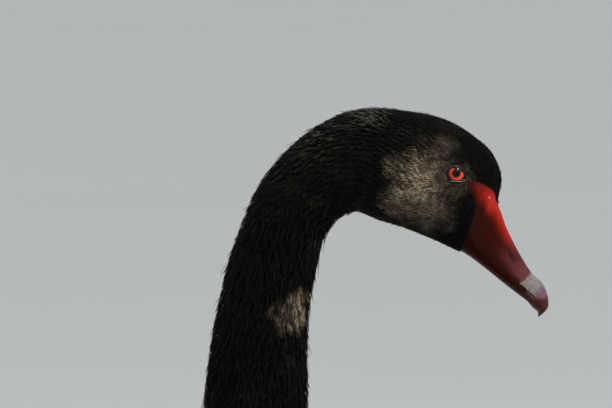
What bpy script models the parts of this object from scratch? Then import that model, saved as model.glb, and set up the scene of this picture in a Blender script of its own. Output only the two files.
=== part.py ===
"""A black swan at life size, resting on its belly with its feet tucked under.

+X points forward, +Y to the bird's left and +Z up. The floor is at Z = 0 and the
origin lies on it, midway between the bill's tip and the tail's. Lengths are metres and
angles degrees. One loft gives the whole bird's form, and thin cuts part it.
"""
import math

import bmesh
import bpy
import numpy as np
from mathutils import Matrix, Vector

GAP = 0.0003
LEFT, RIGHT = 1, -1

# The loft's stations from the bill's tip to the tail: the dorsal point's X and Z, the
# ventral point's X and Z, the half width, and how much wider the section is below.
STATIONS = {
    "bill_tip": (0.3540, 0.4872, 0.3500, 0.4806, 0.0030, 0.10),
    "nail": (0.3530, 0.4926, 0.3456, 0.4850, 0.0086, 0.15),
    "bill_fore": (0.3440, 0.5062, 0.3303, 0.4968, 0.0118, 0.25),
    "nostril": (0.3357, 0.5205, 0.3174, 0.5072, 0.0119, 0.30),
    "bill_base": (0.3288, 0.5366, 0.3068, 0.5148, 0.0135, 0.25),
    "culmen_root": (0.3264, 0.5464, 0.3016, 0.5172, 0.0150, 0.20),
    "forehead": (0.3282, 0.5582, 0.2962, 0.5198, 0.0171, 0.15),
    "brow": (0.3234, 0.5728, 0.2890, 0.5230, 0.0198, 0.10),
    "eye": (0.3122, 0.5836, 0.2810, 0.5264, 0.0222, 0.10),
    "crown": (0.2960, 0.5932, 0.2700, 0.5306, 0.0246, 0.08),
    "hind_crown": (0.2740, 0.5983, 0.2570, 0.5344, 0.0255, 0.05),
    "nape": (0.2440, 0.5993, 0.2440, 0.5392, 0.0248, 0.0),
    "crook": (0.2165, 0.5862, 0.2356, 0.5368, 0.0242, 0.0),
    "crook_back": (0.1905, 0.5600, 0.2291, 0.5300, 0.0245, 0.0),
    "upper_neck": (0.1745, 0.5250, 0.2238, 0.5190, 0.0252, 0.0),
    "mid_neck": (0.1630, 0.4820, 0.2170, 0.4830, 0.0266, 0.0),
    "long_neck": (0.1545, 0.4220, 0.2160, 0.4220, 0.0293, 0.0),
    "low_neck": (0.1490, 0.3560, 0.2210, 0.3480, 0.0335, 0.0),
    "neck_base": (0.1440, 0.2860, 0.2400, 0.2560, 0.0430, 0.05),
    "shoulder": (0.1290, 0.2430, 0.2590, 0.1820, 0.0600, 0.10),
    "breast": (0.1000, 0.2240, 0.2640, 0.1130, 0.0800, 0.12),
    "fore_belly": (0.0560, 0.2170, 0.2420, 0.0490, 0.0970, 0.12),
    "belly_front": (-0.0100, 0.2160, 0.1700, -0.0040, 0.1110, 0.10),
    "mid_belly": (-0.0800, 0.2150, 0.0400, -0.0085, 0.1150, 0.08),
    "rear_belly": (-0.1420, 0.2080, -0.0700, -0.0050, 0.1080, 0.06),
    "flank": (-0.1900, 0.1940, -0.1500, 0.0190, 0.0920, 0.04),
    "rump": (-0.2180, 0.1780, -0.1960, 0.0480, 0.0740, 0.02),
    "vent": (-0.2440, 0.1640, -0.2330, 0.0810, 0.0560, 0.0),
    "tail_root": (-0.2640, 0.1520, -0.2590, 0.1060, 0.0420, 0.0),
    "tail_core": (-0.2950, 0.1390, -0.2950, 0.1240, 0.0350, 0.0),
}
# Lengths of the body between stations: the first and last station, rings, and ring points.
BODY_PARTS = {
    "neck_upper": ("nape", "mid_neck", 12, 24),
    "neck_middle": ("mid_neck", "low_neck", 7, 24),
    "neck_lower": ("low_neck", "neck_base", 6, 24),
    "torso": ("neck_base", "tail_root", 23, 36),
}
HEAD_RINGS, HEAD_POINTS, HEAD_CROWDING = 28, 28, 1.15
EYE_SEGMENTS, EYE_RINGS = 14, 9
FLOOR, FAR = 0.0, 0.5

# The eye lies by its place on the loft, and its opening follows the photograph.
EYE_LENGTH, EYE_ANGLE = 0.0898, 75.3
EYE_RADIUS, EYE_DEPTH = 0.0066, 0.0050
LID_RADIUS = 0.0077
LID_OPENING = (0.0047, 0.0042)
NOSTRIL_LENGTH, NOSTRIL_ANGLE = 0.0351, 55.3
NOSTRIL_SIZE = (0.0048, 0.0016, 0.0024)
NAIL_SIZE, NAIL_DEPTH, NAIL_LENGTH = (0.0082, 0.0060, 0.0042), 0.0032, 0.0040

# The feather edge in side view runs from the culmen back along the bare lore to the eye,
# then down to the chin. The line of the mouth runs from it to under the nail.
FEATHER_EDGE = (
    (0.3340, 0.5430), (0.3258, 0.5442), (0.3240, 0.5490), (0.3212, 0.5532), (0.3168, 0.5562),
    (0.3086, 0.5577), (0.3092, 0.5540), (0.3123, 0.5452), (0.3129, 0.5380), (0.3107, 0.5309),
    (0.3071, 0.5237), (0.3052, 0.5150), (0.3046, 0.5080),
)
MOUTH_LINE = (
    (0.3088, 0.5272), (0.3150, 0.5178), (0.3250, 0.5080), (0.3350, 0.4985), (0.3430, 0.4898),
    (0.3470, 0.4835), (0.3486, 0.4760),
)
CUT_WIDTH = 0.036

# The folded wing lies on the torso between two stations and two angles.
WING_FRONT, WING_REAR = 0.582, 0.990
WING_TOP, WING_LOW_FRONT, WING_LOW_REAR = 3.0, 99.0, 80.0
WING_FRONT_ROUND, WING_REAR_ROUND, WING_BROW = 0.050, 0.022, 0.55
WING_EDGE, WING_DEPTH, WING_SUNK = 0.0030, 0.0140, 0.0040
WING_GRID = (11, 7)
FEATHER_ROWS = (
    # place along the wing, feathers, length, width, curl at the tip
    (0.05, 5, 0.062, 0.034, 0.000),
    (0.20, 6, 0.074, 0.033, 0.001),
    (0.36, 6, 0.086, 0.034, 0.003),
    (0.54, 5, 0.096, 0.038, 0.006),
    (0.73, 4, 0.100, 0.040, 0.010),
)
INNER_REACH, OUTER_REACH = 1.20, 0.92
WING_FAN, TURN_SCATTER, ROOT_SCATTER = 8.0, 2.0, 0.015
LENGTH_SCATTER, CURL_SCATTER = (0.95, 1.05), (0.7, 1.2)
VANE_STEPS = (0.0, 0.45, 0.8, 1.0)
VANE_WIDTHS = (0.55, 1.0, 0.9, 0.35)
VANE_THICKNESS = 0.0009
VANE_SINK, VANE_LIFT, VANE_TILT, VANE_RIDGE = 0.0024, 0.0044, 0.0008, 0.0003
PRIMARIES = 5
PRIMARY_ROOT, PRIMARY_TURN = 0.86, -9.0
PRIMARY_LOWEST, PRIMARY_SPACING, PRIMARY_STACK = 0.78, 0.11, 0.0014
PRIMARY_LENGTH, PRIMARY_SHORTER, PRIMARY_WIDTH = 0.136, 0.008, 0.027

TAIL_FEATHERS = 12
TAIL_REACH = 0.3540
TAIL_FAN, TAIL_ROOT_SPACING, TAIL_STEP = 4.2, 0.0032, 0.0009
TAIL_WIDTH, TAIL_THICKNESS = 0.025, 0.0006
TAIL_START = Vector((-0.270, 0.0, 0.1385))
TAIL_SLOPE = 0.08
TAIL_RINGS, TAIL_POINTS = 4, 24
# The coverts over and under the tail's root: their height on it and their slope.
TAIL_COVERTS = (("upper_covert", 0.0025, 0.10), ("under_covert", -0.0150, 0.04))
COVERT_PAIRS, COVERT_START, COVERT_SPACING, COVERT_DROP = 2, 0.004, 0.011, 0.0014
COVERT_LENGTH, COVERT_WIDTH, COVERT_FAN = 0.046, 0.017, 7.0

# The legs fold along the floor under the flanks.
ANKLE = Vector((-0.105, 0.082, 0.0085))
TOE_BASE = Vector((-0.012, 0.084, 0.0056))
KNEE_END = Vector((-0.064, 0.072, 0.042))
ANKLE_RADIUS, TARSUS_TOP_RADIUS, TARSUS_RADIUS = 0.0088, 0.0064, 0.0056
SHANK_TOP_RADIUS, SHANK_RADIUS = 0.0120, 0.0074
KNUCKLE_SIZE, KNUCKLE_AHEAD = (0.0060, 0.0068, 0.0058), Vector((0.006, 0.0, 0.0))
TOES = ((-6.0, 0.104), (0.0, 0.127), (6.0, 0.100))
TOE_SIDES, TOE_RADIUS, TOE_TIP_RADIUS = 8, 0.0046, 0.0030
CLAW_LENGTH, CLAW_RADIUS, CLAW_TIP_RADIUS = 0.011, 0.0028, 0.0007
CLAW_TIP_HEIGHT, CLAW_SUNK = 0.0012, 0.2
HIND_TOE_START, HIND_TOE_END = Vector((-0.001, -0.005, 0.0)), Vector((-0.014, -0.019, -0.003))
HIND_TOE_RADII = (0.0032, 0.0020)
WEB_TOP, WEB_NOTCH = 0.0024, 0.011

BLACK_PLUMAGE = ((0.012, 0.013, 0.012), 0.62)
BILL_RED = ((0.42, 0.015, 0.018), 0.30)
LOWER_BILL_RED = ((0.22, 0.012, 0.016), 0.34)
EYE_RED = ((0.62, 0.060, 0.030), 0.08)
LEG_GREY = ((0.035, 0.033, 0.034), 0.55)

STATION_NAMES = list(STATIONS)
STATION_TABLE = np.array(list(STATIONS.values()))
STATION_CENTRES = (STATION_TABLE[:, 0:2] + STATION_TABLE[:, 2:4]) / 2
STATION_STEPS = np.linalg.norm(np.diff(STATION_CENTRES, axis=0), axis=1)
STATION_LENGTHS = np.concatenate([[0.0], np.cumsum(STATION_STEPS)])


def station_slopes():
    """Slope of each station value along the loft, from the chords on either side."""
    chords = np.diff(STATION_TABLE, axis=0) / STATION_STEPS[:, None]
    before, after = STATION_STEPS[:-1, None], STATION_STEPS[1:, None]
    inner = (chords[:-1] * after + chords[1:] * before) / (before + after)
    return np.concatenate([chords[:1], inner, chords[-1:]])


STATION_SLOPES = station_slopes()


def place(name):
    """Length along the loft at which a station lies."""
    return STATION_LENGTHS[STATION_NAMES.index(name)]


def loft_rows(s):
    """Station values at length s: a cubic between stations, with their slopes matched."""
    s = np.asarray(s, dtype=float)
    k = np.clip(np.searchsorted(STATION_LENGTHS, s, side="right") - 1, 0, len(STATION_STEPS) - 1)
    step = STATION_STEPS[k][..., None]
    t = (s - STATION_LENGTHS[k])[..., None] / step
    start = (2 * t**3 - 3 * t**2 + 1) * STATION_TABLE[k]
    leaving = (t**3 - 2 * t**2 + t) * step * STATION_SLOPES[k]
    arriving = (t**3 - t**2) * step * STATION_SLOPES[k + 1]
    end = (3 * t**2 - 2 * t**3) * STATION_TABLE[k + 1]
    return start + leaving + arriving + end


def bare_surface(s, angle):
    """Point at length s and an angle round the section: 0 is dorsal and 90 is left."""
    s, a = np.broadcast_arrays(np.asarray(s, dtype=float), np.radians(angle))
    row = loft_rows(s)
    x = (row[..., 0] + row[..., 2]) / 2 + (row[..., 0] - row[..., 2]) / 2 * np.cos(a)
    z = (row[..., 1] + row[..., 3]) / 2 + (row[..., 1] - row[..., 3]) / 2 * np.cos(a)
    y = row[..., 4] * np.sin(a) * (1 - row[..., 5] * np.cos(a))
    return np.stack([x, y, np.maximum(z, FLOOR)], axis=-1)


def outward(s, angle):
    """Unit normal of the loft, from small steps along it and round it."""
    ahead, turn = 1e-4, 0.05
    along = bare_surface(s + ahead, angle) - bare_surface(s - ahead, angle)
    around = bare_surface(s, angle + turn) - bare_surface(s, angle - turn)
    normal = np.cross(around, along)
    return normal / np.linalg.norm(normal, axis=-1, keepdims=True)


def surface(s, angle, height=0.0):
    """Point of the loft, raised by a height along its normal."""
    s, angle, height = np.broadcast_arrays(s, angle, height)
    return bare_surface(s, angle) + outward(s, angle) * height[..., None]


def girth_radius(s, angle):
    """Metres moved for each radian turned round the section."""
    turn = 0.5
    step = bare_surface(s, angle + turn) - bare_surface(s, angle - turn)
    return np.linalg.norm(step, axis=-1) / math.radians(2 * turn)


def clear_scene():
    """Remove the objects and collections of the opened file."""
    for item in list(bpy.data.objects):
        bpy.data.objects.remove(item, do_unlink=True)
    for group in list(bpy.data.collections):
        bpy.data.collections.remove(group)


def new_collection(name):
    group = bpy.data.collections.new(name)
    bpy.context.scene.collection.children.link(group)
    return group


def new_material(name, look, metallic=0.0):
    """Principled material from a colour and a roughness."""
    colour, roughness = look
    material = bpy.data.materials.new(name)
    material.use_nodes = True
    shader = material.node_tree.nodes["Principled BSDF"]
    shader.inputs["Base Color"].default_value = (*colour, 1.0)
    shader.inputs["Roughness"].default_value = roughness
    shader.inputs["Metallic"].default_value = metallic
    material.diffuse_color = (*colour, 1.0)
    return material


def mesh_object(name, vertices, faces, group):
    """Object of the given faces, with its normals turned outwards."""
    mesh = bpy.data.meshes.new(name)
    mesh.from_pydata([tuple(v) for v in vertices], [], faces)
    body = bmesh.new()
    body.from_mesh(mesh)
    bmesh.ops.recalc_face_normals(body, faces=body.faces)
    body.to_mesh(mesh)
    body.free()
    item = bpy.data.objects.new(name, mesh)
    group.objects.link(item)
    return item


def ring_faces(rings, count):
    """Triangles between rings, split alike on the left side and the right."""
    faces = []
    for i in range(rings - 1):
        for j in range(count):
            k = (j + 1) % count
            a, b = i * count + j, i * count + k
            c, d = a + count, b + count
            if j < count // 2:
                faces += [(a, b, d), (a, d, c)]
            else:
                faces += [(a, b, c), (b, d, c)]
    return faces


def section_normal(s):
    """Unit vector square to the section at length s, towards the tail."""
    row = loft_rows(s)
    up = np.array([row[0] - row[2], row[1] - row[3]])
    normal = np.array([up[1], 0.0, -up[0]]) / np.linalg.norm(up)
    ahead = bare_surface(s + 1e-4, 90.0) - bare_surface(s - 1e-4, 90.0)
    return normal if normal @ ahead > 0 else -normal


def part_lengths(part):
    """Lengths along the loft of a body part's rings."""
    first, last, rings, _ = BODY_PARTS[part]
    return np.linspace(place(first), place(last), rings)


def loft_body(name, lengths, count, group, start_gap=GAP / 2, end_gap=GAP / 2, height=0.0):
    """Closed length of the loft with flat ends, each drawn in by half a gap."""
    angles = np.arange(count) * 360.0 / count
    rings = [surface(s, angles, height) for s in lengths]
    rings[0] = rings[0] + section_normal(lengths[0]) * start_gap
    rings[-1] = rings[-1] - section_normal(lengths[-1]) * end_gap
    faces = ring_faces(len(rings), count)
    last = (len(rings) - 1) * count
    faces.append(tuple(range(count)))
    faces.append(tuple(range(last + count - 1, last - 1, -1)))
    return mesh_object(name, np.concatenate(rings), faces, group)


def slab(name, top, bottom, group):
    """Closed slab between two grids of points, split alike on both faces."""
    rows, columns = top.shape[:2]
    half = rows * columns
    faces = []
    for i in range(rows - 1):
        for j in range(columns - 1):
            a, b = i * columns + j, i * columns + j + 1
            c, d = a + columns, b + columns
            for tri in ((a, b, d), (a, d, c)):
                faces.append(tri)
                faces.append(tuple(half + v for v in reversed(tri)))
    edge = [j for j in range(columns)]
    edge += [i * columns + columns - 1 for i in range(1, rows)]
    edge += [(rows - 1) * columns + j for j in range(columns - 2, -1, -1)]
    edge += [i * columns for i in range(rows - 2, 0, -1)]
    for a, b in zip(edge, edge[1:] + edge[:1]):
        faces += [(a, half + a, b), (b, half + a, half + b)]
    points = np.concatenate([top.reshape(-1, 3), bottom.reshape(-1, 3)])
    return mesh_object(name, points, faces, group)


def ellipsoid(name, centre, size, axes, group, segments=14, rings=8):
    """Ellipsoid with its half sizes along the columns of axes."""
    mesh = bpy.data.meshes.new(name)
    body = bmesh.new()
    bmesh.ops.create_uvsphere(body, u_segments=segments, v_segments=rings, radius=1.0)
    turned = axes.to_4x4() @ Matrix.Diagonal((*size, 1.0))
    bmesh.ops.transform(body, matrix=Matrix.Translation(centre) @ turned, verts=body.verts)
    bmesh.ops.recalc_face_normals(body, faces=body.faces)
    body.to_mesh(mesh)
    body.free()
    item = bpy.data.objects.new(name, mesh)
    group.objects.link(item)
    return item


def taper(name, start, end, start_radius, end_radius, group, segments=10):
    """Straight round length between two points, tapering from one radius to the other."""
    axis = Vector(end) - Vector(start)
    mesh = bpy.data.meshes.new(name)
    body = bmesh.new()
    bmesh.ops.create_cone(
        body, cap_ends=True, segments=segments, radius1=start_radius, radius2=end_radius,
        depth=axis.length,
    )
    turned = axis.to_track_quat("Z", "Y").to_matrix().to_4x4()
    middle = (Vector(start) + Vector(end)) / 2
    bmesh.ops.transform(body, matrix=Matrix.Translation(middle) @ turned, verts=body.verts)
    body.to_mesh(mesh)
    body.free()
    item = bpy.data.objects.new(name, mesh)
    group.objects.link(item)
    return item


def box(name, low, high, group):
    """Box between two corners."""
    mesh = bpy.data.meshes.new(name)
    body = bmesh.new()
    bmesh.ops.create_cube(body, size=1.0)
    low, high = Vector(low), Vector(high)
    scale = Matrix.Diagonal((*(high - low), 1.0))
    bmesh.ops.transform(body, matrix=Matrix.Translation((low + high) / 2) @ scale, verts=body.verts)
    body.to_mesh(mesh)
    body.free()
    item = bpy.data.objects.new(name, mesh)
    group.objects.link(item)
    return item


def ribbon_cutter(name, outline, group):
    """Sheet one gap thick that follows an outline in side view and spans the head."""
    vertices = [(x, side * CUT_WIDTH, z) for x, z in outline for side in (RIGHT, LEFT)]
    faces = [(2 * i, 2 * i + 1, 2 * i + 3, 2 * i + 2) for i in range(len(outline) - 1)]
    item = mesh_object(name, vertices, faces, group)
    shell = item.modifiers.new("thickness", "SOLIDIFY")
    shell.thickness = GAP
    shell.offset = 0.0
    shell.use_even_offset = True
    return item


def bake(item):
    """Replace an object's mesh by its evaluated one."""
    graph = bpy.context.evaluated_depsgraph_get()
    graph.update()
    mesh = bpy.data.meshes.new_from_object(item.evaluated_get(graph))
    item.modifiers.clear()
    item.data = mesh


def boolean(item, group, operation, solver="EXACT"):
    """Join or cut an object with every object of a collection, then remove those."""
    step = item.modifiers.new(operation.lower(), "BOOLEAN")
    step.operand_type = "COLLECTION"
    step.collection = group
    step.operation = operation
    step.solver = solver
    bake(item)
    for tool in list(group.objects):
        bpy.data.objects.remove(tool, do_unlink=True)


def loose_bodies(item):
    """Face index sets of the separate closed surfaces in an object's mesh."""
    body = bmesh.new()
    body.from_mesh(item.data)
    body.faces.ensure_lookup_table()
    unseen = set(range(len(body.faces)))
    found = []
    while unseen:
        front = [unseen.pop()]
        shell = set(front)
        while front:
            face = body.faces[front.pop()]
            for edge in face.edges:
                for other in edge.link_faces:
                    if other.index in unseen:
                        unseen.remove(other.index)
                        shell.add(other.index)
                        front.append(other.index)
        found.append(shell)
    body.free()
    return found


def shell_volume(item, shell):
    """Volume enclosed by some faces of a mesh, as a sum of tetrahedra to the origin."""
    points = item.data.vertices
    total = 0.0
    for index in shell:
        corners = [points[v].co for v in item.data.polygons[index].vertices]
        for second, third in zip(corners[1:-1], corners[2:]):
            total += corners[0].dot(second.cross(third)) / 6
    return total


def keep_faces(item, shell):
    """Drop every face outside a set, with the points that this leaves loose."""
    body = bmesh.new()
    body.from_mesh(item.data)
    body.faces.ensure_lookup_table()
    dropped = [face for face in body.faces if face.index not in shell]
    bmesh.ops.delete(body, geom=dropped, context="FACES")
    loose = [vertex for vertex in body.verts if not vertex.link_faces]
    bmesh.ops.delete(body, geom=loose, context="VERTS")
    body.to_mesh(item.data)
    body.free()


def keep_largest(item):
    """Keep the closed surface that encloses the most."""
    shells = loose_bodies(item)
    keep_faces(item, max(shells, key=lambda shell: shell_volume(item, shell)))


def copy_object(item, name, group):
    twin = bpy.data.objects.new(name, item.data.copy())
    group.objects.link(twin)
    return twin


def surface_frame(s, angle, side):
    """Point on the loft and axes there: along it to the front, round it, and outwards."""
    point = Vector(bare_surface(s, angle * side))
    normal = Vector(outward(s, angle * side))
    forward = Vector(bare_surface(s - 1e-3, angle * side) - bare_surface(s + 1e-3, angle * side))
    forward = (forward - normal * forward.dot(normal)).normalized()
    across = normal.cross(forward)
    return point, Matrix((forward, across, normal)).transposed()


def face_frame(s, angle, side):
    """As surface_frame, with the first axis level, for what sits square to the head."""
    point, axes = surface_frame(s, angle, side)
    normal = axes.col[2].copy()
    level = Vector((1.0, 0.0, 0.0))
    level = (level - normal * level.dot(normal)).normalized()
    return point, Matrix((level, normal.cross(level), normal)).transposed()


def make_head(model, tools):
    """Head and bill as one loft with lids, nail and nostrils, parted by thin cuts."""
    shares = np.linspace(0.0, 1.0, HEAD_RINGS) ** HEAD_CROWDING
    head = loft_body("head", place("nape") * shares, HEAD_POINTS, model, start_gap=0.0)
    tip = (bare_surface(0.0, 0.0) + bare_surface(0.0, 180.0)) / 2
    nail_point, nail_axes = surface_frame(NAIL_LENGTH, 0.0, LEFT)
    nail_centre = nail_point.lerp(Vector(tip), 0.35) - nail_axes.col[2] * NAIL_DEPTH
    ellipsoid("nail", nail_centre, NAIL_SIZE, nail_axes, tools)
    for side in (LEFT, RIGHT):
        point, axes = face_frame(EYE_LENGTH, EYE_ANGLE, side)
        centre = point - axes.col[2] * EYE_DEPTH
        ellipsoid("lid", centre, (LID_RADIUS,) * 3, axes, tools, EYE_SEGMENTS, EYE_RINGS)
    boolean(head, tools, "UNION")
    for side in (LEFT, RIGHT):
        point, axes = face_frame(EYE_LENGTH, EYE_ANGLE, side)
        centre = point - axes.col[2] * EYE_DEPTH
        room = (EYE_RADIUS + GAP,) * 3
        ellipsoid("socket", centre, room, axes, tools, EYE_SEGMENTS, EYE_RINGS)
        reach = centre + axes.col[2] * LID_RADIUS
        ellipsoid("opening", reach, (*LID_OPENING, LID_RADIUS * 0.8), axes, tools, 16, 8)
        point, axes = surface_frame(NOSTRIL_LENGTH, NOSTRIL_ANGLE, side)
        ellipsoid("nostril", point, NOSTRIL_SIZE, axes, tools, 12, 8)
    boolean(head, tools, "DIFFERENCE")
    ribbon_cutter("feather_edge", FEATHER_EDGE, tools)
    ribbon_cutter("mouth_line", MOUTH_LINE, tools)
    boolean(head, tools, "DIFFERENCE")
    shells = sorted(loose_bodies(head), key=lambda shell: -shell_volume(head, shell))
    upper = copy_object(head, "bill_upper", model)
    lower = copy_object(head, "bill_lower", model)
    for item, shell in zip((head, upper, lower), shells):
        keep_faces(item, shell)
    return head, upper, lower


def make_eye(name, side, model):
    """Eyeball in its socket, seen through the lids' opening."""
    point, axes = face_frame(EYE_LENGTH, EYE_ANGLE, side)
    centre = point - axes.col[2] * EYE_DEPTH
    return ellipsoid(name, centre, (EYE_RADIUS,) * 3, axes, model, EYE_SEGMENTS, EYE_RINGS)


def wing_low(s):
    """Angle of the wing's lower edge, which climbs towards the tail."""
    share = np.clip((s - WING_FRONT) / (WING_REAR - WING_FRONT), 0.0, 1.0)
    return WING_LOW_FRONT + (WING_LOW_REAR - WING_LOW_FRONT) * share


def wing_ends(v):
    """Lengths at which the wing starts and ends, rounded back from its leading point."""
    bow = (np.clip(v, 0.0, 1.0) - WING_BROW) ** 2 / max(WING_BROW, 1 - WING_BROW) ** 2
    return WING_FRONT + WING_FRONT_ROUND * bow, WING_REAR - WING_REAR_ROUND * bow


def wing_place(s, angle):
    """Shares of the wing's length and of its depth at a place on the body."""
    v = (angle - WING_TOP) / (wing_low(s) - WING_TOP)
    front, rear = wing_ends(v)
    return (s - front) / (rear - front), v


def wing_point(u, v):
    """Length and angle on the body at shares of the wing's length and depth."""
    front, rear = wing_ends(v)
    s = front + (rear - front) * u
    return s, WING_TOP + (wing_low(s) - WING_TOP) * v


def wing_thickness(s, angle):
    """Height of the folded wing's core: thin at its edges and fullest towards the rear."""
    u, v = wing_place(s, angle)
    rise = np.sin(np.pi * np.clip(u, 0.0, 1.0) ** 1.3) ** 0.7
    span = np.sin(np.pi * np.clip(v, 0.0, 1.0) ** 0.85) ** 0.6
    return WING_EDGE + (WING_DEPTH - WING_EDGE) * rise * span


def wing_vane(name, root, turn, length, width, side, group, curl=0.0, stack=0.0):
    """Feather laid on the wing: rooted in its core, rising to the tip over the next row."""
    s, angle = root
    t = np.array(VANE_STEPS)[:, None]
    across = np.array([-1.0, 0.0, 1.0])[None, :]
    half = width / 2 * np.array(VANE_WIDTHS)[:, None]
    radius = girth_radius(s, angle)
    lengths = s + length * t * math.cos(math.radians(turn)) + 0 * across
    sweep = length * t * math.sin(math.radians(turn))
    angles = angle + np.degrees((sweep + across * half) / radius)
    height = wing_thickness(lengths, angles) - VANE_SINK + (VANE_SINK + VANE_LIFT) * t**0.8
    height = height + VANE_TILT * across + VANE_RIDGE * (1 - np.abs(across))
    height = height + curl * np.clip((t - 0.4) / 0.6, 0.0, 1.0) ** 2 + stack * t
    mirror = np.array([1.0, side, 1.0])
    top = surface(lengths, angles, height + VANE_THICKNESS / 2) * mirror
    bottom = surface(lengths, angles, height - VANE_THICKNESS / 2) * mirror
    slab(name, top, bottom, group)


def body_room(tools):
    """Cutter one gap larger than the torso, for what lies against it."""
    loft_body("body_room", part_lengths("torso"), BODY_PARTS["torso"][3], tools, height=GAP)


def make_wing(name, side, model, tools):
    """Folded wing: a core on the flank under tiers of feathers, and the primaries."""
    rows, columns = WING_GRID
    u = np.linspace(0.0, 1.0, rows)[:, None]
    v = np.linspace(0.0, 1.0, columns)[None, :]
    s, angle = wing_point(u, v)
    mirror = np.array([1.0, side, 1.0])
    top = surface(s, angle, wing_thickness(s, angle)) * mirror
    bottom = surface(s, angle, -WING_SUNK) * mirror
    wing = slab(name, top, bottom, model)
    pick = np.random.default_rng(11)
    for row, (begin, count, length, width, curl) in enumerate(FEATHER_ROWS):
        for j in range(count):
            share = (j + 0.45 + 0.25 * (row % 2)) / (count + 0.15)
            root = wing_point(begin + pick.uniform(0.0, ROOT_SCATTER), share)
            turn = WING_FAN * (0.5 - share) + pick.uniform(-TURN_SCATTER, TURN_SCATTER)
            reach = length * (INNER_REACH + (OUTER_REACH - INNER_REACH) * share)
            reach *= pick.uniform(*LENGTH_SCATTER)
            bend = curl * pick.uniform(*CURL_SCATTER)
            wing_vane(f"covert_{row}_{j}", root, turn, reach, width, side, tools, curl=bend)
    for j in range(PRIMARIES):
        root = wing_point(PRIMARY_ROOT, PRIMARY_LOWEST - PRIMARY_SPACING * j)
        length = PRIMARY_LENGTH - PRIMARY_SHORTER * j
        wing_vane(
            f"primary_{j}", root, PRIMARY_TURN, length, PRIMARY_WIDTH, side, tools,
            stack=PRIMARY_STACK * j,
        )
    boolean(wing, tools, "UNION")
    keep_largest(wing)
    body_room(tools)
    middle = side * GAP / 2
    low_y, high_y = sorted((middle, middle - side * FAR))
    box("midline_room", (-FAR, low_y, -FAR), (FAR, high_y, FAR), tools)
    boolean(wing, tools, "DIFFERENCE")
    keep_largest(wing)
    return wing


def flat_vane(name, root, heading, length, width, slope, group):
    """Straight tail feather from a root, turned by a heading and falling by a slope."""
    t = np.array(VANE_STEPS)[:, None]
    across = np.array([-1.0, 0.0, 1.0])[None, :]
    half = width / 2 * np.array(VANE_WIDTHS)[:, None]
    turn = math.radians(heading)
    x = root[0] - length * t * math.cos(turn) - across * half * math.sin(turn)
    y = root[1] + length * t * math.sin(turn) - across * half * math.cos(turn)
    z = root[2] - slope * length * t + 0 * across
    z = z + VANE_RIDGE * (1 - np.abs(across))
    centre = np.stack([x, y, z], axis=-1)
    lift = np.array([0.0, 0.0, TAIL_THICKNESS / 2])
    slab(name, centre + lift, centre - lift, group)


def make_tail(model, tools):
    """Tail: a core behind the rump, twelve fanned feathers, and coverts over and under."""
    lengths = np.linspace(place("tail_root"), place("tail_core"), TAIL_RINGS)
    tail = loft_body("tail", lengths, TAIL_POINTS, model, end_gap=0.0)
    for rank in range(TAIL_FEATHERS):
        side = LEFT if rank % 2 == 0 else RIGHT
        number = rank // 2 + 0.5
        root = TAIL_START + Vector((0.0, side * number * TAIL_ROOT_SPACING, -rank * TAIL_STEP))
        heading = side * number * TAIL_FAN
        reach = TAIL_REACH + TAIL_START.x
        flat_vane(f"tail_{rank}", root, heading, reach, TAIL_WIDTH, TAIL_SLOPE, tools)
    for word, height, slope in TAIL_COVERTS:
        for j in range(-COVERT_PAIRS, COVERT_PAIRS + 1):
            drop = height - abs(j) * COVERT_DROP
            root = TAIL_START + Vector((COVERT_START, j * COVERT_SPACING, drop))
            heading = j * COVERT_FAN
            flat_vane(f"{word}_{j}", root, heading, COVERT_LENGTH, COVERT_WIDTH, slope, tools)
    boolean(tail, tools, "UNION")
    keep_largest(tail)
    return tail


def mirrored(point, side):
    return Vector((point[0], point[1] * side, point[2]))


def cut_clear(item, tools):
    """Cut a leg or foot flat on the floor and clear of the body above it."""
    box("under_floor", (-FAR, -FAR, -FAR), (FAR, FAR, FLOOR), tools)
    body_room(tools)
    boolean(item, tools, "DIFFERENCE")
    keep_largest(item)


def make_leg(name, side, model, tools):
    """Folded leg: the shank's end out of the flank, the ankle, and the tarsus ahead of it."""
    ankle, toe_base = mirrored(ANKLE, side), mirrored(TOE_BASE, side)
    leg = ellipsoid(name, ankle, (ANKLE_RADIUS,) * 3, Matrix.Identity(3), model, 14, 10)
    taper("shank", mirrored(KNEE_END, side), ankle, SHANK_TOP_RADIUS, SHANK_RADIUS, tools)
    end = toe_base - Vector((GAP, 0.0, 0.0))
    taper("tarsus", ankle, end, TARSUS_TOP_RADIUS, TARSUS_RADIUS, tools)
    boolean(leg, tools, "UNION")
    cut_clear(leg, tools)
    return leg


def toe_end(base, heading, length, side):
    turn = math.radians(heading * side)
    return base + Vector((length * math.cos(turn), length * math.sin(turn), TOE_TIP_RADIUS - base.z))


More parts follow.
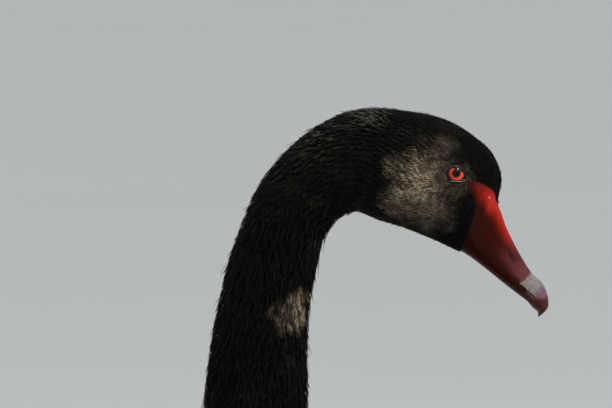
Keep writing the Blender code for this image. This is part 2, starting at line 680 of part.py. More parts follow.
def make_foot(name, side, model, tools):
    """Folded foot: three toes with their claws, the web between them and a hind toe."""
    base = mirrored(TOE_BASE, side)
    knuckle = base + KNUCKLE_AHEAD
    foot = ellipsoid(name, knuckle, KNUCKLE_SIZE, Matrix.Identity(3), model, 14, 8)
    ends = []
    for heading, length in TOES:
        end = toe_end(knuckle, heading, length - CLAW_LENGTH, side)
        claw = toe_end(knuckle, heading, length, side)
        claw.z = CLAW_TIP_HEIGHT
        taper("toe", knuckle, end, TOE_RADIUS, TOE_TIP_RADIUS, tools, TOE_SIDES)
        start = end.lerp(claw, -CLAW_SUNK)
        taper("claw", start, claw, CLAW_RADIUS, CLAW_TIP_RADIUS, tools, TOE_SIDES)
        ends.append(end)
    start, end = knuckle + mirrored(HIND_TOE_START, side), knuckle + mirrored(HIND_TOE_END, side)
    taper("hind_toe", start, end, *HIND_TOE_RADII, tools, TOE_SIDES)
    for first, second in zip(ends[:-1], ends[1:]):
        notch = (first + second) / 2 - Vector((WEB_NOTCH, 0.0, 0.0))
        corners = np.array([[knuckle, first], [second, notch]])
        top, low = corners.copy(), corners.copy()
        top[..., 2], low[..., 2] = WEB_TOP, FLOOR - WEB_TOP
        slab("web", top, low, tools)
    boolean(foot, tools, "UNION")
    cut_clear(foot, tools)
    return foot


def main():
    """Build every part of the bird and give each its material."""
    clear_scene()
    model = new_collection("black_swan")
    tools = new_collection("tools")
    plumage = []
    for name, sizes in BODY_PARTS.items():
        plumage.append(loft_body(name, part_lengths(name), sizes[3], model))
    head, upper, lower = make_head(model, tools)
    plumage.append(head)
    eyes = [make_eye("eye_left", LEFT, model), make_eye("eye_right", RIGHT, model)]
    legs = []
    for word, side in (("left", LEFT), ("right", RIGHT)):
        plumage.append(make_wing(f"wing_{word}", side, model, tools))
        legs.append(make_leg(f"leg_{word}", side, model, tools))
        legs.append(make_foot(f"foot_{word}", side, model, tools))
    plumage.append(make_tail(model, tools))
    looks = (
        (plumage, new_material("black_plumage", BLACK_PLUMAGE)),
        ([upper], new_material("bill_red", BILL_RED)),
        ([lower], new_material("lower_bill_red", LOWER_BILL_RED)),
        (eyes, new_material("eye_red", EYE_RED)),
        (legs, new_material("leg_grey", LEG_GREY)),
    )
    for items, material in looks:
        for item in items:
            item.data.materials.clear()
            item.data.materials.append(material)


main()
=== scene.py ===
"""Skin, feathers, bill, eyes and feet of a life-size black swan that rests on its belly.

Lengths are metres and angles degrees, with +X forward, +Y to the bird's left and the
floor at Z = 0. One loft gives the bird's form: it runs from the bill's tip back along
head and neck to the tail, and a place on it is a length along the loft and an angle
round its section, 0 on the back and 90 on the left. Skin, feathers and bill all lie on
that loft at their own heights.
"""
import math

import bpy
import numpy as np
from bpy.props import FloatProperty, FloatVectorProperty, IntProperty
from bpy.types import Operator, Panel, PropertyGroup
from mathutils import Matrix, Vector


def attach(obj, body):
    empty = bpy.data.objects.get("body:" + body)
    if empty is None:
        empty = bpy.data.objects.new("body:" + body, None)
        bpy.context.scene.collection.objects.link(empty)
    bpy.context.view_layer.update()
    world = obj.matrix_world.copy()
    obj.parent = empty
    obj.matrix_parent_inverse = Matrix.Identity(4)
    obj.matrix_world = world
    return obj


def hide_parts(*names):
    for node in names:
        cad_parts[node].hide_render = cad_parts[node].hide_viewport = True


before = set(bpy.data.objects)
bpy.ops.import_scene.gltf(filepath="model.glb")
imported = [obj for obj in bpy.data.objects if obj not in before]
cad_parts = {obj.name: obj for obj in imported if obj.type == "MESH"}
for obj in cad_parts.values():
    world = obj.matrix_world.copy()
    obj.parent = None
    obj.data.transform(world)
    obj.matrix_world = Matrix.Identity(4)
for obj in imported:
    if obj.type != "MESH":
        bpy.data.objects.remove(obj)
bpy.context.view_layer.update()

bl_info = {
    "name": "Black Swan",
    "version": (1, 0, 0),
    "blender": (4, 5, 0),
    "location": "View3D > Sidebar > Swan",
    "description": "Dresses a resting black swan with skin, feathers, bill, eyes and feet",
    "category": "Object",
}

BODY = "root"
LEFT, RIGHT = 1, -1
SIDES = (("left", LEFT), ("right", RIGHT))
BAKE_MAP = "OFBake"
BAKE_PATCH = 0.003

# The loft's stations from the bill's tip to the tail: the dorsal point's X and Z, the
# ventral point's X and Z, the half width, and how much wider the section is below.
STATIONS = {
    "bill_tip": (0.3550, 0.4857, 0.3490, 0.4821, 0.0075, 0.05),
    "nail": (0.3530, 0.4926, 0.3456, 0.4850, 0.0086, 0.15),
    "bill_fore": (0.3440, 0.5062, 0.3303, 0.4968, 0.0118, 0.25),
    "nostril": (0.3357, 0.5205, 0.3174, 0.5072, 0.0119, 0.30),
    "bill_base": (0.3288, 0.5366, 0.3068, 0.5148, 0.0135, 0.25),
    "culmen_root": (0.3264, 0.5464, 0.3016, 0.5172, 0.0150, 0.20),
    "forehead": (0.3282, 0.5582, 0.2962, 0.5198, 0.0171, 0.15),
    "brow": (0.3234, 0.5728, 0.2890, 0.5230, 0.0198, 0.10),
    "eye": (0.3122, 0.5836, 0.2810, 0.5264, 0.0222, 0.10),
    "crown": (0.2960, 0.5932, 0.2700, 0.5306, 0.0246, 0.08),
    "hind_crown": (0.2740, 0.5983, 0.2570, 0.5344, 0.0255, 0.05),
    "nape": (0.2440, 0.5993, 0.2440, 0.5392, 0.0248, 0.0),
    "crook": (0.2165, 0.5862, 0.2356, 0.5368, 0.0242, 0.0),
    "crook_back": (0.1905, 0.5600, 0.2291, 0.5300, 0.0245, 0.0),
    "upper_neck": (0.1745, 0.5250, 0.2238, 0.5190, 0.0252, 0.0),
    "mid_neck": (0.1630, 0.4820, 0.2170, 0.4830, 0.0266, 0.0),
    "long_neck": (0.1545, 0.4220, 0.2160, 0.4220, 0.0293, 0.0),
    "low_neck": (0.1490, 0.3560, 0.2210, 0.3480, 0.0335, 0.0),
    "neck_base": (0.1440, 0.2860, 0.2400, 0.2560, 0.0430, 0.05),
    "shoulder": (0.1290, 0.2430, 0.2590, 0.1820, 0.0600, 0.10),
    "breast": (0.1000, 0.2240, 0.2640, 0.1130, 0.0800, 0.12),
    "fore_belly": (0.0560, 0.2170, 0.2420, 0.0490, 0.0970, 0.12),
    "belly_front": (-0.0100, 0.2160, 0.1700, -0.0040, 0.1110, 0.10),
    "mid_belly": (-0.0800, 0.2150, 0.0400, -0.0085, 0.1150, 0.08),
    "rear_belly": (-0.1420, 0.2080, -0.0700, -0.0050, 0.1080, 0.06),
    "flank": (-0.1900, 0.1940, -0.1500, 0.0190, 0.0920, 0.04),
    "rump": (-0.2180, 0.1780, -0.1960, 0.0480, 0.0740, 0.02),
    "vent": (-0.2440, 0.1640, -0.2330, 0.0810, 0.0560, 0.0),
    "tail_root": (-0.2640, 0.1520, -0.2590, 0.1060, 0.0420, 0.0),
    "tail_core": (-0.2950, 0.1390, -0.2950, 0.1240, 0.0350, 0.0),
}
FLOOR = 0.0

# Where the feathers end at the bill, and where the bills part: angle and length there.
FEATHER_EDGE = (
    (0.0, 0.0590), (16.0, 0.0596), (27.0, 0.0617), (39.0, 0.0651), (48.0, 0.0684),
    (54.0, 0.0714), (59.0, 0.0747), (64.0, 0.0780), (69.0, 0.0814), (72.5, 0.0830),
    (75.5, 0.0812), (78.0, 0.0781), (80.0, 0.0749), (82.0, 0.0716), (87.0, 0.0690),
    (94.0, 0.0667), (107.0, 0.0634), (126.0, 0.0608), (150.0, 0.0585), (180.0, 0.0565),
)
MOUTH_LINE = (
    (0.0, 176.0), (0.0030, 168.0), (0.0056, 156.0), (0.0110, 134.0), (0.0170, 121.0),
    (0.0232, 116.5), (0.0394, 118.5), (0.0542, 119.0), (0.0614, 112.0), (0.0700, 108.0),
)
# The gap at the mouth, where the lower bill starts, how far the bill runs on under the
# feathers, and how much deeper the skin lies under it.
MOUTH_GAP = 0.00035
LOWER_BILL_START = 0.0024
BILL_UNDER = 0.0012
UNDER_BILL = 0.0011
# The hook of the nail: where its middle line turns, and its point. It closes as the end of
# an oval, of which this share lies behind its first ring.
HOOK_TURN, HOOK_POINT = (0.3528, 0.0, 0.4812), (0.3500, 0.0, 0.4786)
HOOK_BEHIND, HOOK_RINGS = 0.5, 26
# The swelling of the nail: its height, where it starts behind, and where it is full.
NAIL_SWELL, NAIL_START, NAIL_FULL = 0.0013, 0.0205, 0.0095

# The skin's depth under the feathers' surface, and the feathers' sizes: loft length,
# depth, feather length and width.
COAT = (
    (0.0560, 0.0008, 0.0018, 0.0008),
    (0.0750, 0.0009, 0.0021, 0.0009),
    (0.0950, 0.0011, 0.0027, 0.0010),
    (0.1150, 0.0014, 0.0036, 0.0012),
    (0.1350, 0.0018, 0.0048, 0.0015),
    (0.1600, 0.0024, 0.0066, 0.0022),
    (0.2000, 0.0028, 0.0088, 0.0032),
    (0.3200, 0.0030, 0.0115, 0.0044),
    (0.4700, 0.0036, 0.0150, 0.0070),
    (0.5500, 0.0045, 0.0210, 0.0125),
    (0.7000, 0.0050, 0.0270, 0.0170),
    (0.9000, 0.0050, 0.0300, 0.0180),
    (1.0200, 0.0040, 0.0300, 0.0150),
    (1.0721, 0.0030, 0.0260, 0.0120),
)

# The eye's place on the loft, its radius, and how deep its middle lies.
EYE_LENGTH, EYE_ANGLE = 0.0912, 73.1
EYE_RADIUS, EYE_DEPTH = 0.0066, 0.0050
PUPIL_OFFSET = (-0.00015, 0.00050)
# The brow's shade on the iris: its direction ahead and up, then where it starts and ends.
BROW_SHADE = (0.42, 0.907, 0.0018, 0.0025)
# Half sizes of the lids' opening to the front, the rear, up and down, then of their ring.
LID_OPENING = (0.0043, 0.0044, 0.0039, 0.0038)
LID_RING = (0.0064, 0.0056)
# The lower lid's pale rim: its rear and front ends and its height from the eye's middle.
LOWER_RIM = (-0.0034, 0.0054, -0.0039)
NOSTRIL_LENGTH, NOSTRIL_ANGLE = 0.0351, 55.3
# The bill's point towards the eye, where its red fades into painted shade.
LORE = (0.3088, 0.0190, 0.5585)
# A painted highlight on the bill's base.
BILL_GLINT = (0.3208, 0.0132, 0.5489)
# Painted sheen on feathers of the hind crown and nape: middle, radius, and the share that is dull.
SHEEN_STREAKS = (
    ((0.2225, 0.0140, 0.5845), 0.022, 0.50),
    ((0.2505, 0.0085, 0.5980), 0.018, 0.0),
)
# Patches of painted sunlight on partly brown, worn feathers, which both sides have: middle, radius, and how
# strong they are.
SUNLIT_BROWN_PATCHES = (
    ((0.2785, 0.0240, 0.5570), 0.0243, 1.08),
    ((0.2955, 0.0215, 0.5560), 0.0200, 0.28),
    ((0.2835, 0.0200, 0.5405), 0.0226, 0.55),
    ((0.2720, 0.0215, 0.5450), 0.0174, 0.54),
    ((0.2925, 0.0212, 0.5745), 0.0175, 0.27),
    ((0.2118, 0.0180, 0.4835), 0.0150, 1.15),
    ((0.2030, 0.0241, 0.4800), 0.0130, 0.36),
)

# The folded wing lies on the body between two lengths and two angles.
WING_FRONT, WING_REAR = 0.582, 0.990
# Angles of its upper edge, and of its lower edge in front and behind; then how its ends
# round off, and its height at the edge and in the middle.
WING_TOP, WING_LOW_FRONT, WING_LOW_REAR = 3.0, 99.0, 80.0
WING_FRONT_ROUND, WING_REAR_ROUND, WING_BROW = 0.050, 0.022, 0.55
WING_EDGE, WING_DEPTH = 0.0030, 0.0140
# Its tiers of feathers, the share that is coarse, and how much they overlap.
WING_TIERS, FINE_TIERS, WING_OVERLAP = 16, 0.62, 1.45
# First and last tier: place along the wing, feather length, width and curl at the tip.
WING_ENDS = ((-0.01, 0.027, 0.0150, 0.0), (0.775, 0.088, 0.0350, 0.0105))
WING_POWERS = (1.1, 1.35, 1.1, 2.5)
# How many hairs the body's fringe has for each feather.
FRINGE_SHARE = 3.2
# Length of a tier's inner and outer feathers, as shares of its own.
INNER_REACH, OUTER_REACH = 1.15, 0.92
# The white primaries: number, roots on the wing, heights, tips, width and bow.
PRIMARIES = 6
PRIMARY_ROOT, PRIMARY_LOWEST, PRIMARY_SPACING = 0.84, 0.82, 0.09
PRIMARY_ROOT_HEIGHT, PRIMARY_TIP_HEIGHT, PRIMARY_STACK = 0.0045, 0.0062, 0.0016
PRIMARY_SHORT, PRIMARY_SHORTER, PRIMARY_CLOSING = 0.004, 0.005, 0.80
PRIMARY_WIDTH, PRIMARY_BOW = 0.024, 0.0086

# The tail: number of feathers, their start and reach, the fan, and their widths.
TAIL_FEATHERS = 14
TAIL_START, TAIL_REACH = (-0.270, 0.0, 0.1385), 0.3540
TAIL_FAN, TAIL_ROOT_SPACING, TAIL_STEP, TAIL_SLOPE = 3.6, 0.0029, 0.0008, 0.08
TAIL_WIDTH, TAIL_COVERT_WIDTH, TAIL_MIDDLE = 0.025, 0.015, 0.1315
# Rows of coverts over and under the tail: height from its start, slope and length.
TAIL_COVERTS = (
    (0.0040, 0.12, 0.040), (0.0022, 0.10, 0.052), (-0.0120, 0.03, 0.044), (-0.0150, 0.02, 0.052),
)

# The legs fold along the floor under the flanks.
ANKLE, ANKLE_RADIUS = (-0.105, 0.082, 0.0085), 0.0086
TOE_BASE = (-0.012, 0.084, 0.0056)
KNEE_END = (-0.064, 0.072, 0.042)
# The feathers over the top of the shank: their middle on the loft, spread and number.
THIGH, THIGH_SPREAD, THIGH_FEATHERS = (0.854, 127.0), (0.017, 10.0), 60
# Radii of tarsus and shank at their upper and lower ends, and sizes of toes and web.
TARSUS_TOP_RADIUS, TARSUS_RADIUS = 0.0062, 0.0054
SHANK_TOP_RADIUS, SHANK_RADIUS = 0.0118, 0.0074
KNUCKLE_AHEAD = 0.006
TOES = ((-6.0, 0.104), (0.0, 0.127), (6.0, 0.100))
TOE_RADIUS, TOE_TIP_RADIUS, CLAW_LENGTH = 0.0044, 0.0028, 0.011
WEB_TOP, WEB_NOTCH = 0.0022, 0.011

# The picture's middle and scale on the bird's median plane.
VIEW_CENTRE, VIEW_WIDTH = (0.2147, 0.0, 0.5440), 0.3550
SENSOR = 36.0

# Steps of the golden sequence in two parts that spreads the feathers' roots evenly, and
# the rows and steps of the tables that it is read from.
GOLDEN = (0.7548776662466927, 0.5698402909980532)
SPREAD_ROWS, SPREAD_STEPS = 500, 800
# The lie parts round a post of this radius at the eye, and is straight again this far off.
EYE_POST, EYE_REACH = 0.0068, 0.016
# Rows of a tuft and of a hair: the share along the blade, and its width there.
TUFT = ((0.0, 0.60), (0.40, 1.0), (0.80, 0.72), (1.0, 0.0))
HAIR = ((0.0, 0.50), (0.30, 0.95), (0.62, 1.0), (0.86, 0.62), (1.0, 0.0))
# Vanes of neck, body, thigh and wing: rows and columns, arch across, thickness, how far the
# tip's corners draw back, taper, raggedness, height of the rib and ruffle of the edges.
NECK_VANE = {
    "grid": (4, 3), "arch": 0.0006, "thick": 0.0004, "round": 0.20, "taper": 0.75, "ragged": 0.05,
    "rib": 0.0,
}
BODY_VANE = {
    "grid": (6, 5), "arch": 0.0008, "thick": 0.00035, "round": 0.13, "taper": 0.80, "ragged": 0.022,
    "rib": 0.0002, "ruffle": 0.0004,
}
THIGH_VANE = {**BODY_VANE, "round": 0.14, "taper": 0.85, "ragged": 0.03, "ruffle": 0.0006}
WING_VANE = {"arch": 0.0012, "thick": 0.00045, "round": 0.11, "taper": 0.84, "rib": 0.0004, "waves": 2.2}
# Feather materials: spacing of the barbs, gloss, share of worn edge, contrast of the strands.
# The barbs slant by a number of spacings from shaft to edge.
FEATHER_LOOKS = {
    "velvet_feather": (0.0011, 0.0, 0.02, 0.35),
    "black_vane": (0.0013, 0.07, 0.50, 0.55),
    "soft_vane": (0.0012, 0.02, 0.22, 0.50),
}
BARB_SLANT = 5.0
# Fixed tints of skin, white feathers, bill, eye, lid and studio.
SKIN_SHADE, SHEEN_TINT = (0.006, 0.006, 0.006), (0.80, 0.76, 0.72)
DUST, SHAFT = (0.55, 0.52, 0.46), (0.62, 0.56, 0.46)
HAZE, VEIN, BILL_ROOT_SHADE = (0.105, 0.027, 0.030), (0.040, 0.004, 0.005), (0.020, 0.0045, 0.0030)
GLINT_PINK, NOSTRIL_SHADE = (0.60, 0.26, 0.22), (0.014, 0.003, 0.004)
IRIS_SPOKE, IRIS_INNER, IRIS_RING = (0.42, 0.020, 0.008), (0.13, 0.010, 0.004), (0.055, 0.006, 0.004)
BROW_DARK, PUPIL_BLACK, EYE_REAR = (0.012, 0.003, 0.002), (0.001, 0.001, 0.001), (0.004, 0.003, 0.003)
LID_FOLD, SKY = (0.026, 0.020, 0.016), (0.93, 0.96, 1.0, 1.0)
# Lamps: place from the aim, size, share of the main lamp's power, and colour.
LAMPS = {
    "key": ((0.72, -0.50, 1.14), 0.25, 1.0, (1.0, 0.93, 0.84)),
    "top": ((0.10, 0.40, 2.20), 1.2, 1.0, (0.95, 0.97, 1.0)),
    "back": ((-1.2, 2.2, 1.2), 1.6, 0.7, (0.96, 0.98, 1.0)),
}
# The floor's level radii, and the radius of its cove and the height of its wall.
FLOOR_RADII, COVE, WALL = (0.5, 2.0, 8.0, 22.0), 3.0, 7.0
# Rows and columns of skin, bill, web, eye and lids, and the steps back across the mouth.
SKIN_GRID, BILL_GRID, WEB_GRID = (300, 121), (150, 105), (40, 17)
EYE_GRID, LID_GRID, MOUTH_STEPS = (66, 97), (25, 121), 14
# How many tufts, neck feathers, neck hairs and body feathers lie over each other.
TUFT_LAYERS, NECK_LAYERS, HAIR_LAYERS, BODY_LAYERS = 3.2, 2.3, 2.0, 2.1
HAIR_WIDTH = 0.0016
# Shares of head tufts and neck hairs that lie flat, and how far the others stand out.
TUFTS_FLAT, TUFT_STAND, HAIRS_FLAT, WISP_STAND = 0.955, 0.0009, 0.978, 0.0020
# How much blades and vanes bend to one side by chance.
BLADE_BEND, VANE_BEND = 0.16, 0.08
# Spreads of neck and body feathers: of their turn, length, width, and height at the tip.
NECK_SPREADS = (8.0, (0.85, 1.15), (0.9, 1.2), 0.0003)
BODY_SPREADS = (7.0, (0.9, 1.15), (0.9, 1.15), 0.0005)
# How far the skin starts ahead of the bill's base, and the lower bill lies inside the loft.
SKIN_LEAD, LOWER_BILL_INSET = 0.006, 0.0004
# Half length, half width and depth of a nostril, and the turn that the mouth's colours read.
NOSTRIL_SLIT, NOSTRIL_DEPTH, MOUTH_TURN = (0.0042, 0.0013), 0.0012, 118.0
# The eye's clear bulge, the lids' rear depth, and twice the cheek's radii to front and below.
EYE_BULGE, LID_DEPTH, CHEEK_BEND = 0.0002, 0.0022, (0.11, 0.044)
# Feathers over the shank, and the tail's coverts on either side of the middle one.
THIGH_LENGTHS, THIGH_WIDTHS, THIGH_STAND = (0.018, 0.028), (0.009, 0.014), 0.010
TAIL_COVERT_REACH, TAIL_COVERT_SPACING, TAIL_COVERT_STEP, TAIL_COVERT_FAN = 4.0, 0.0062, 0.0009, 4.5
# Scutes across tarsus and toes, then ends and radii of the hind toe and the knuckle.
TARSUS_PITCH, TOE_PITCH, SCUTE_RELIEF = 0.0032, 0.0026, 0.05
HIND_TOE = ((-0.001, -0.005, 0.0), (-0.014, -0.019, -0.003))
HIND_TOE_RADII, KNUCKLE_RADII, WEB_THICKNESS = (0.0032, 0.0020), (0.0060, 0.0052), 0.0009

STATION_NAMES = list(STATIONS)
STATION_TABLE = np.array(list(STATIONS.values()))
STATION_CENTRES = (STATION_TABLE[:, 0:2] + STATION_TABLE[:, 2:4]) / 2
STATION_STEPS = np.linalg.norm(np.diff(STATION_CENTRES, axis=0), axis=1)
STATION_LENGTHS = np.concatenate([[0.0], np.cumsum(STATION_STEPS)])
LOFT_END = STATION_LENGTHS[-1]


def tint(name, description, default):
    """Colour that the user can change."""
    return FloatVectorProperty(
        name=name, description=description, default=default, size=3, subtype="COLOR", min=0.0, max=1.0,
    )


def amount(name, description, default):
    """Share that the user can change, from 0 to 1."""
    return FloatProperty(
        name=name, description=description, default=default, subtype="FACTOR", min=0.0, max=1.0,
    )


def measure(name, description, default, low=0.0):
    """Length that the user can change, down to the lowest that works."""
    return FloatProperty(name=name, description=description, default=default, unit="LENGTH", min=low)


class PlumageSettings(PropertyGroup):
    """Colours and softness of the feathers and the skin under them."""

    black: tint("Black", "Colour of the feathers in shade", (0.0027, 0.0030, 0.0026))
    # Partly painted sheen and partly worn feathers: soft grey patches over the black.
    worn_and_sheen_grey: tint("Bloom", "Grey that soft patches of the black lean to", (0.0150, 0.0160, 0.0135))
    # Painted sunlight: the lit patches of the cheek and neck lean to this brown, which is partly the worn
    # feathers' own colour.
    brown: tint("Worn brown", "Colour that lit and worn feathers lean to", (0.350, 0.272, 0.188))
    edge: tint("Edge", "Colour that the worn edges of the large feathers lean to", (0.046, 0.039, 0.034))
    # Painted sheen: the lit streaks on the hind crown take this paler grey.
    sheen_streak: tint("Streak", "Colour of the glossy streaks on the hind crown", (0.084, 0.079, 0.065))
    white: tint("White", "Colour of the primaries", (0.80, 0.79, 0.75))
    roughness: amount("Roughness", "Roughness of the black feathers", 0.56)
    sheen: amount("Sheen", "Soft light along the edges of the black plumage", 0.02)
    tufts: FloatProperty(
        name="Tuft density", description="Density of the feathers, 1 for the full coat",
        default=1.0, min=0.05, max=1.5,
    )
    seed: IntProperty(
        name="Seed", description="Start of every random draw of the coat", default=7, min=0,
    )


class BillSettings(PropertyGroup):
    """Colours of the bill and the length of its bands."""

    # The ridge's red, its painted highlight and the deep red of the sides are partly painted light and
    # painted shade.
    red: tint("Red", "Colour along the ridge of the bill", (0.38, 0.013, 0.008))
    bright: tint("Bright red", "Colour of the lit root of the bill", (0.52, 0.020, 0.012))
    deep: tint("Deep red", "Colour of the sides of the bill's base", (0.028, 0.0023, 0.0005))
    purple: tint(
        "Purple red", "Colour of the bill between the nostrils and the band", (0.066, 0.0105, 0.0115),
    )
    # Painted shade low down along the mouth.
    side: tint("Side", "Colour low down along the mouth", (0.022, 0.0030, 0.0010))
    band: tint("Band", "Colour of the pale band behind the nail", (0.190, 0.188, 0.183))
    mauve: tint("Mauve", "Colour of the band's front end", (0.15, 0.085, 0.125))
    tip: tint("Tip", "Colour of the nail", (0.054, 0.0165, 0.013))
    band_start: measure("Band start", "Length from the tip to the pale band", 0.0030)
    band_end: measure("Band end", "Length from the tip to the red", 0.0202)


class EyeSettings(PropertyGroup):
    """Sizes and colours of the eyes and lids."""

    iris: tint("Iris", "Colour of the iris", (0.88, 0.080, 0.042))
    lid: tint("Lid", "Colour of the bare lids", (0.0085, 0.0075, 0.0065))
    rim: tint("Lower rim", "Colour of the lower lid's pale rim", (0.30, 0.245, 0.175))
    iris_radius: measure("Iris radius", "Radius of the iris", 0.0046)
    pupil_radius: measure("Pupil radius", "Radius of the pupil", 0.00230)


class LegSettings(PropertyGroup):
    """Colours of the legs and feet."""

    grey: tint("Grey", "Colour of the legs and webs", (0.030, 0.028, 0.029))
    claw: tint("Claw", "Colour of the claws", (0.012, 0.010, 0.010))


class StageSettings(PropertyGroup):
    """Floor, light and camera."""

    distance: measure("Distance", "Distance from the camera to the bird", 4.0, low=1.0)
    elevation: FloatProperty(
        name="Elevation", description="Height of the camera above level, as an angle",
        default=math.radians(5.0), subtype="ANGLE",
    )
    floor: tint("Floor", "Colour of the floor and backdrop", (0.72, 0.72, 0.70))
    sky: FloatProperty(
        name="Sky", description="Strength of the even light from all round", default=0.70, min=0.0,
    )
    key: FloatProperty(
        name="Key light", description="Power of the main lamp", default=17.5, min=0.0, unit="POWER",
    )


def station_slopes():
    """Slope of each station value along the loft, from the chords on either side."""
    chords = np.diff(STATION_TABLE, axis=0) / STATION_STEPS[:, None]
    before, after = STATION_STEPS[:-1, None], STATION_STEPS[1:, None]
    inner = (chords[:-1] * after + chords[1:] * before) / (before + after)
    return np.concatenate([chords[:1], inner, chords[-1:]])


STATION_SLOPES = station_slopes()


def place(name):
    """Length along the loft at which a station lies."""
    return STATION_LENGTHS[STATION_NAMES.index(name)]


def loft_rows(s):
    """Station values at length s: a cubic between stations, with their slopes matched."""
    s = np.asarray(s, dtype=float)
    k = np.clip(np.searchsorted(STATION_LENGTHS, s, side="right") - 1, 0, len(STATION_STEPS) - 1)
    step = STATION_STEPS[k][..., None]
    t = (s - STATION_LENGTHS[k])[..., None] / step
    start = (2 * t**3 - 3 * t**2 + 1) * STATION_TABLE[k]
    leaving = (t**3 - 2 * t**2 + t) * step * STATION_SLOPES[k]
    arriving = (t**3 - t**2) * step * STATION_SLOPES[k + 1]
    end = (3 * t**2 - 2 * t**3) * STATION_TABLE[k + 1]
    return start + leaving + arriving + end


def bare_surface(s, angle):
    """Point at length s and an angle round the section, a leaning oval in the station's size."""
    s, a = np.broadcast_arrays(np.asarray(s, dtype=float), np.radians(angle))
    row = loft_rows(s)
    x = (row[..., 0] + row[..., 2]) / 2 + (row[..., 0] - row[..., 2]) / 2 * np.cos(a)
    z = (row[..., 1] + row[..., 3]) / 2 + (row[..., 1] - row[..., 3]) / 2 * np.cos(a)
    y = row[..., 4] * np.sin(a) * (1 - row[..., 5] * np.cos(a))
    return np.stack([x, y, np.maximum(z, FLOOR)], axis=-1)


def unit(v):
    """Vectors scaled to a length of 1."""
    return v / np.linalg.norm(v, axis=-1, keepdims=True)


def outward(s, angle):
    """Unit normal of the loft, from small steps along it and round it."""
    ahead, turn = 1e-4, 0.05
    along = bare_surface(s + ahead, angle) - bare_surface(s - ahead, angle)
    around = bare_surface(s, angle + turn) - bare_surface(s, angle - turn)
    return unit(np.cross(around, along))


def surface(s, angle, height=0.0):
    """Point of the loft, raised by a height along its normal and kept above the floor."""
    s, angle, height = np.broadcast_arrays(s, angle, height)
    points = bare_surface(s, angle) + outward(s, angle) * height[..., None]
    points[..., 2] = np.maximum(points[..., 2], FLOOR)
    return points


def lay_axes(s, angle):
    """Metres along per metre of loft, and metres along and across per degree of turn."""
    step, turn = 2e-4, 0.2
    along = (bare_surface(s + step, angle) - bare_surface(s - step, angle)) / (2 * step)
    around = (bare_surface(s, angle + turn) - bare_surface(s, angle - turn)) / (2 * turn)
    reach = np.linalg.norm(along, axis=-1)
    forth = along / reach[..., None]
    across = np.cross(unit(np.cross(around, along)), forth)
    return reach, (around * forth).sum(-1), (around * across).sum(-1)


def lay(s, angle, x, y):
    """Place reached from (s, angle) by going x metres with the lie and y across it."""
    reach, shear, girth = lay_axes(s, angle)
    turned = y / girth
    return s + (x - shear * turned) / reach, angle + turned


def smooth(value, low, high):
    """0 below low, 1 above high and a smooth cubic between."""
    t = np.clip((value - low) / (high - low), 0.0, 1.0)
    return t * t * (3 - 2 * t)


def looked_up(table, at, column=1):
    """Value of a table's column at a place of its first column, evenly between the rows."""
    rows = np.array(table)
    return np.interp(at, rows[:, 0], rows[:, column])


def coat_value(s, column):
    """Depth, feather length or feather width at length s."""
    return looked_up(COAT, s, column)


def edge_length(angle):
    """Length at which the feathers start behind the bill, at an angle round the head."""
    return looked_up(FEATHER_EDGE, np.abs(angle))


def signed(angle):
    """The same angle from -180 to 180."""
    return (angle + 180.0) % 360.0 - 180.0


def from_spot(s, angle, length, turn):
    """Metres with the lie and across it from the spot at a length and an angle."""
    reach, shear, girth = lay_axes(np.array(length), np.array(turn))
    off = angle - turn
    return (s - length) * reach + shear * off, off * girth


def wing_low(s):
    """Angle of the wing's lower edge, which climbs towards the tail."""
    share = np.clip((s - WING_FRONT) / (WING_REAR - WING_FRONT), 0.0, 1.0)
    return WING_LOW_FRONT + (WING_LOW_REAR - WING_LOW_FRONT) * share


def wing_ends(v):
    """Lengths at which the wing starts and ends, rounded back from its leading point."""
    bow = (np.clip(v, 0.0, 1.0) - WING_BROW) ** 2 / max(WING_BROW, 1 - WING_BROW) ** 2
    return WING_FRONT + WING_FRONT_ROUND * bow, WING_REAR - WING_REAR_ROUND * bow


def wing_place(s, angle):
    """Shares of the wing's length and of its depth at a place on the body."""
    v = (np.abs(angle) - WING_TOP) / (wing_low(s) - WING_TOP)
    front, rear = wing_ends(v)
    return (s - front) / (rear - front), v


def wing_point(u, v):
    """Length and angle on the body at shares of the wing's length and depth."""
    front, rear = wing_ends(v)
    s = front + (rear - front) * u
    return s, WING_TOP + (wing_low(s) - WING_TOP) * v


def wing_swell(s, angle):
    """Height of the folded wing under its feathers, smoothed off at its edges."""
    u, v = wing_place(s, angle)
    rise = np.sin(np.pi * np.clip(u, 0.0, 1.0) ** 1.3) ** 0.7
    span = np.sin(np.pi * np.clip(v, 0.0, 1.0) ** 0.85) ** 0.6
    inside = smooth(u, 0.0, 0.06) * smooth(1 - u, 0.0, 0.05) * smooth(v, 0.0, 0.06)
    inside = inside * smooth(1 - v, 0.0, 0.10)
    return (WING_EDGE + (WING_DEPTH - WING_EDGE) * rise * span) * inside


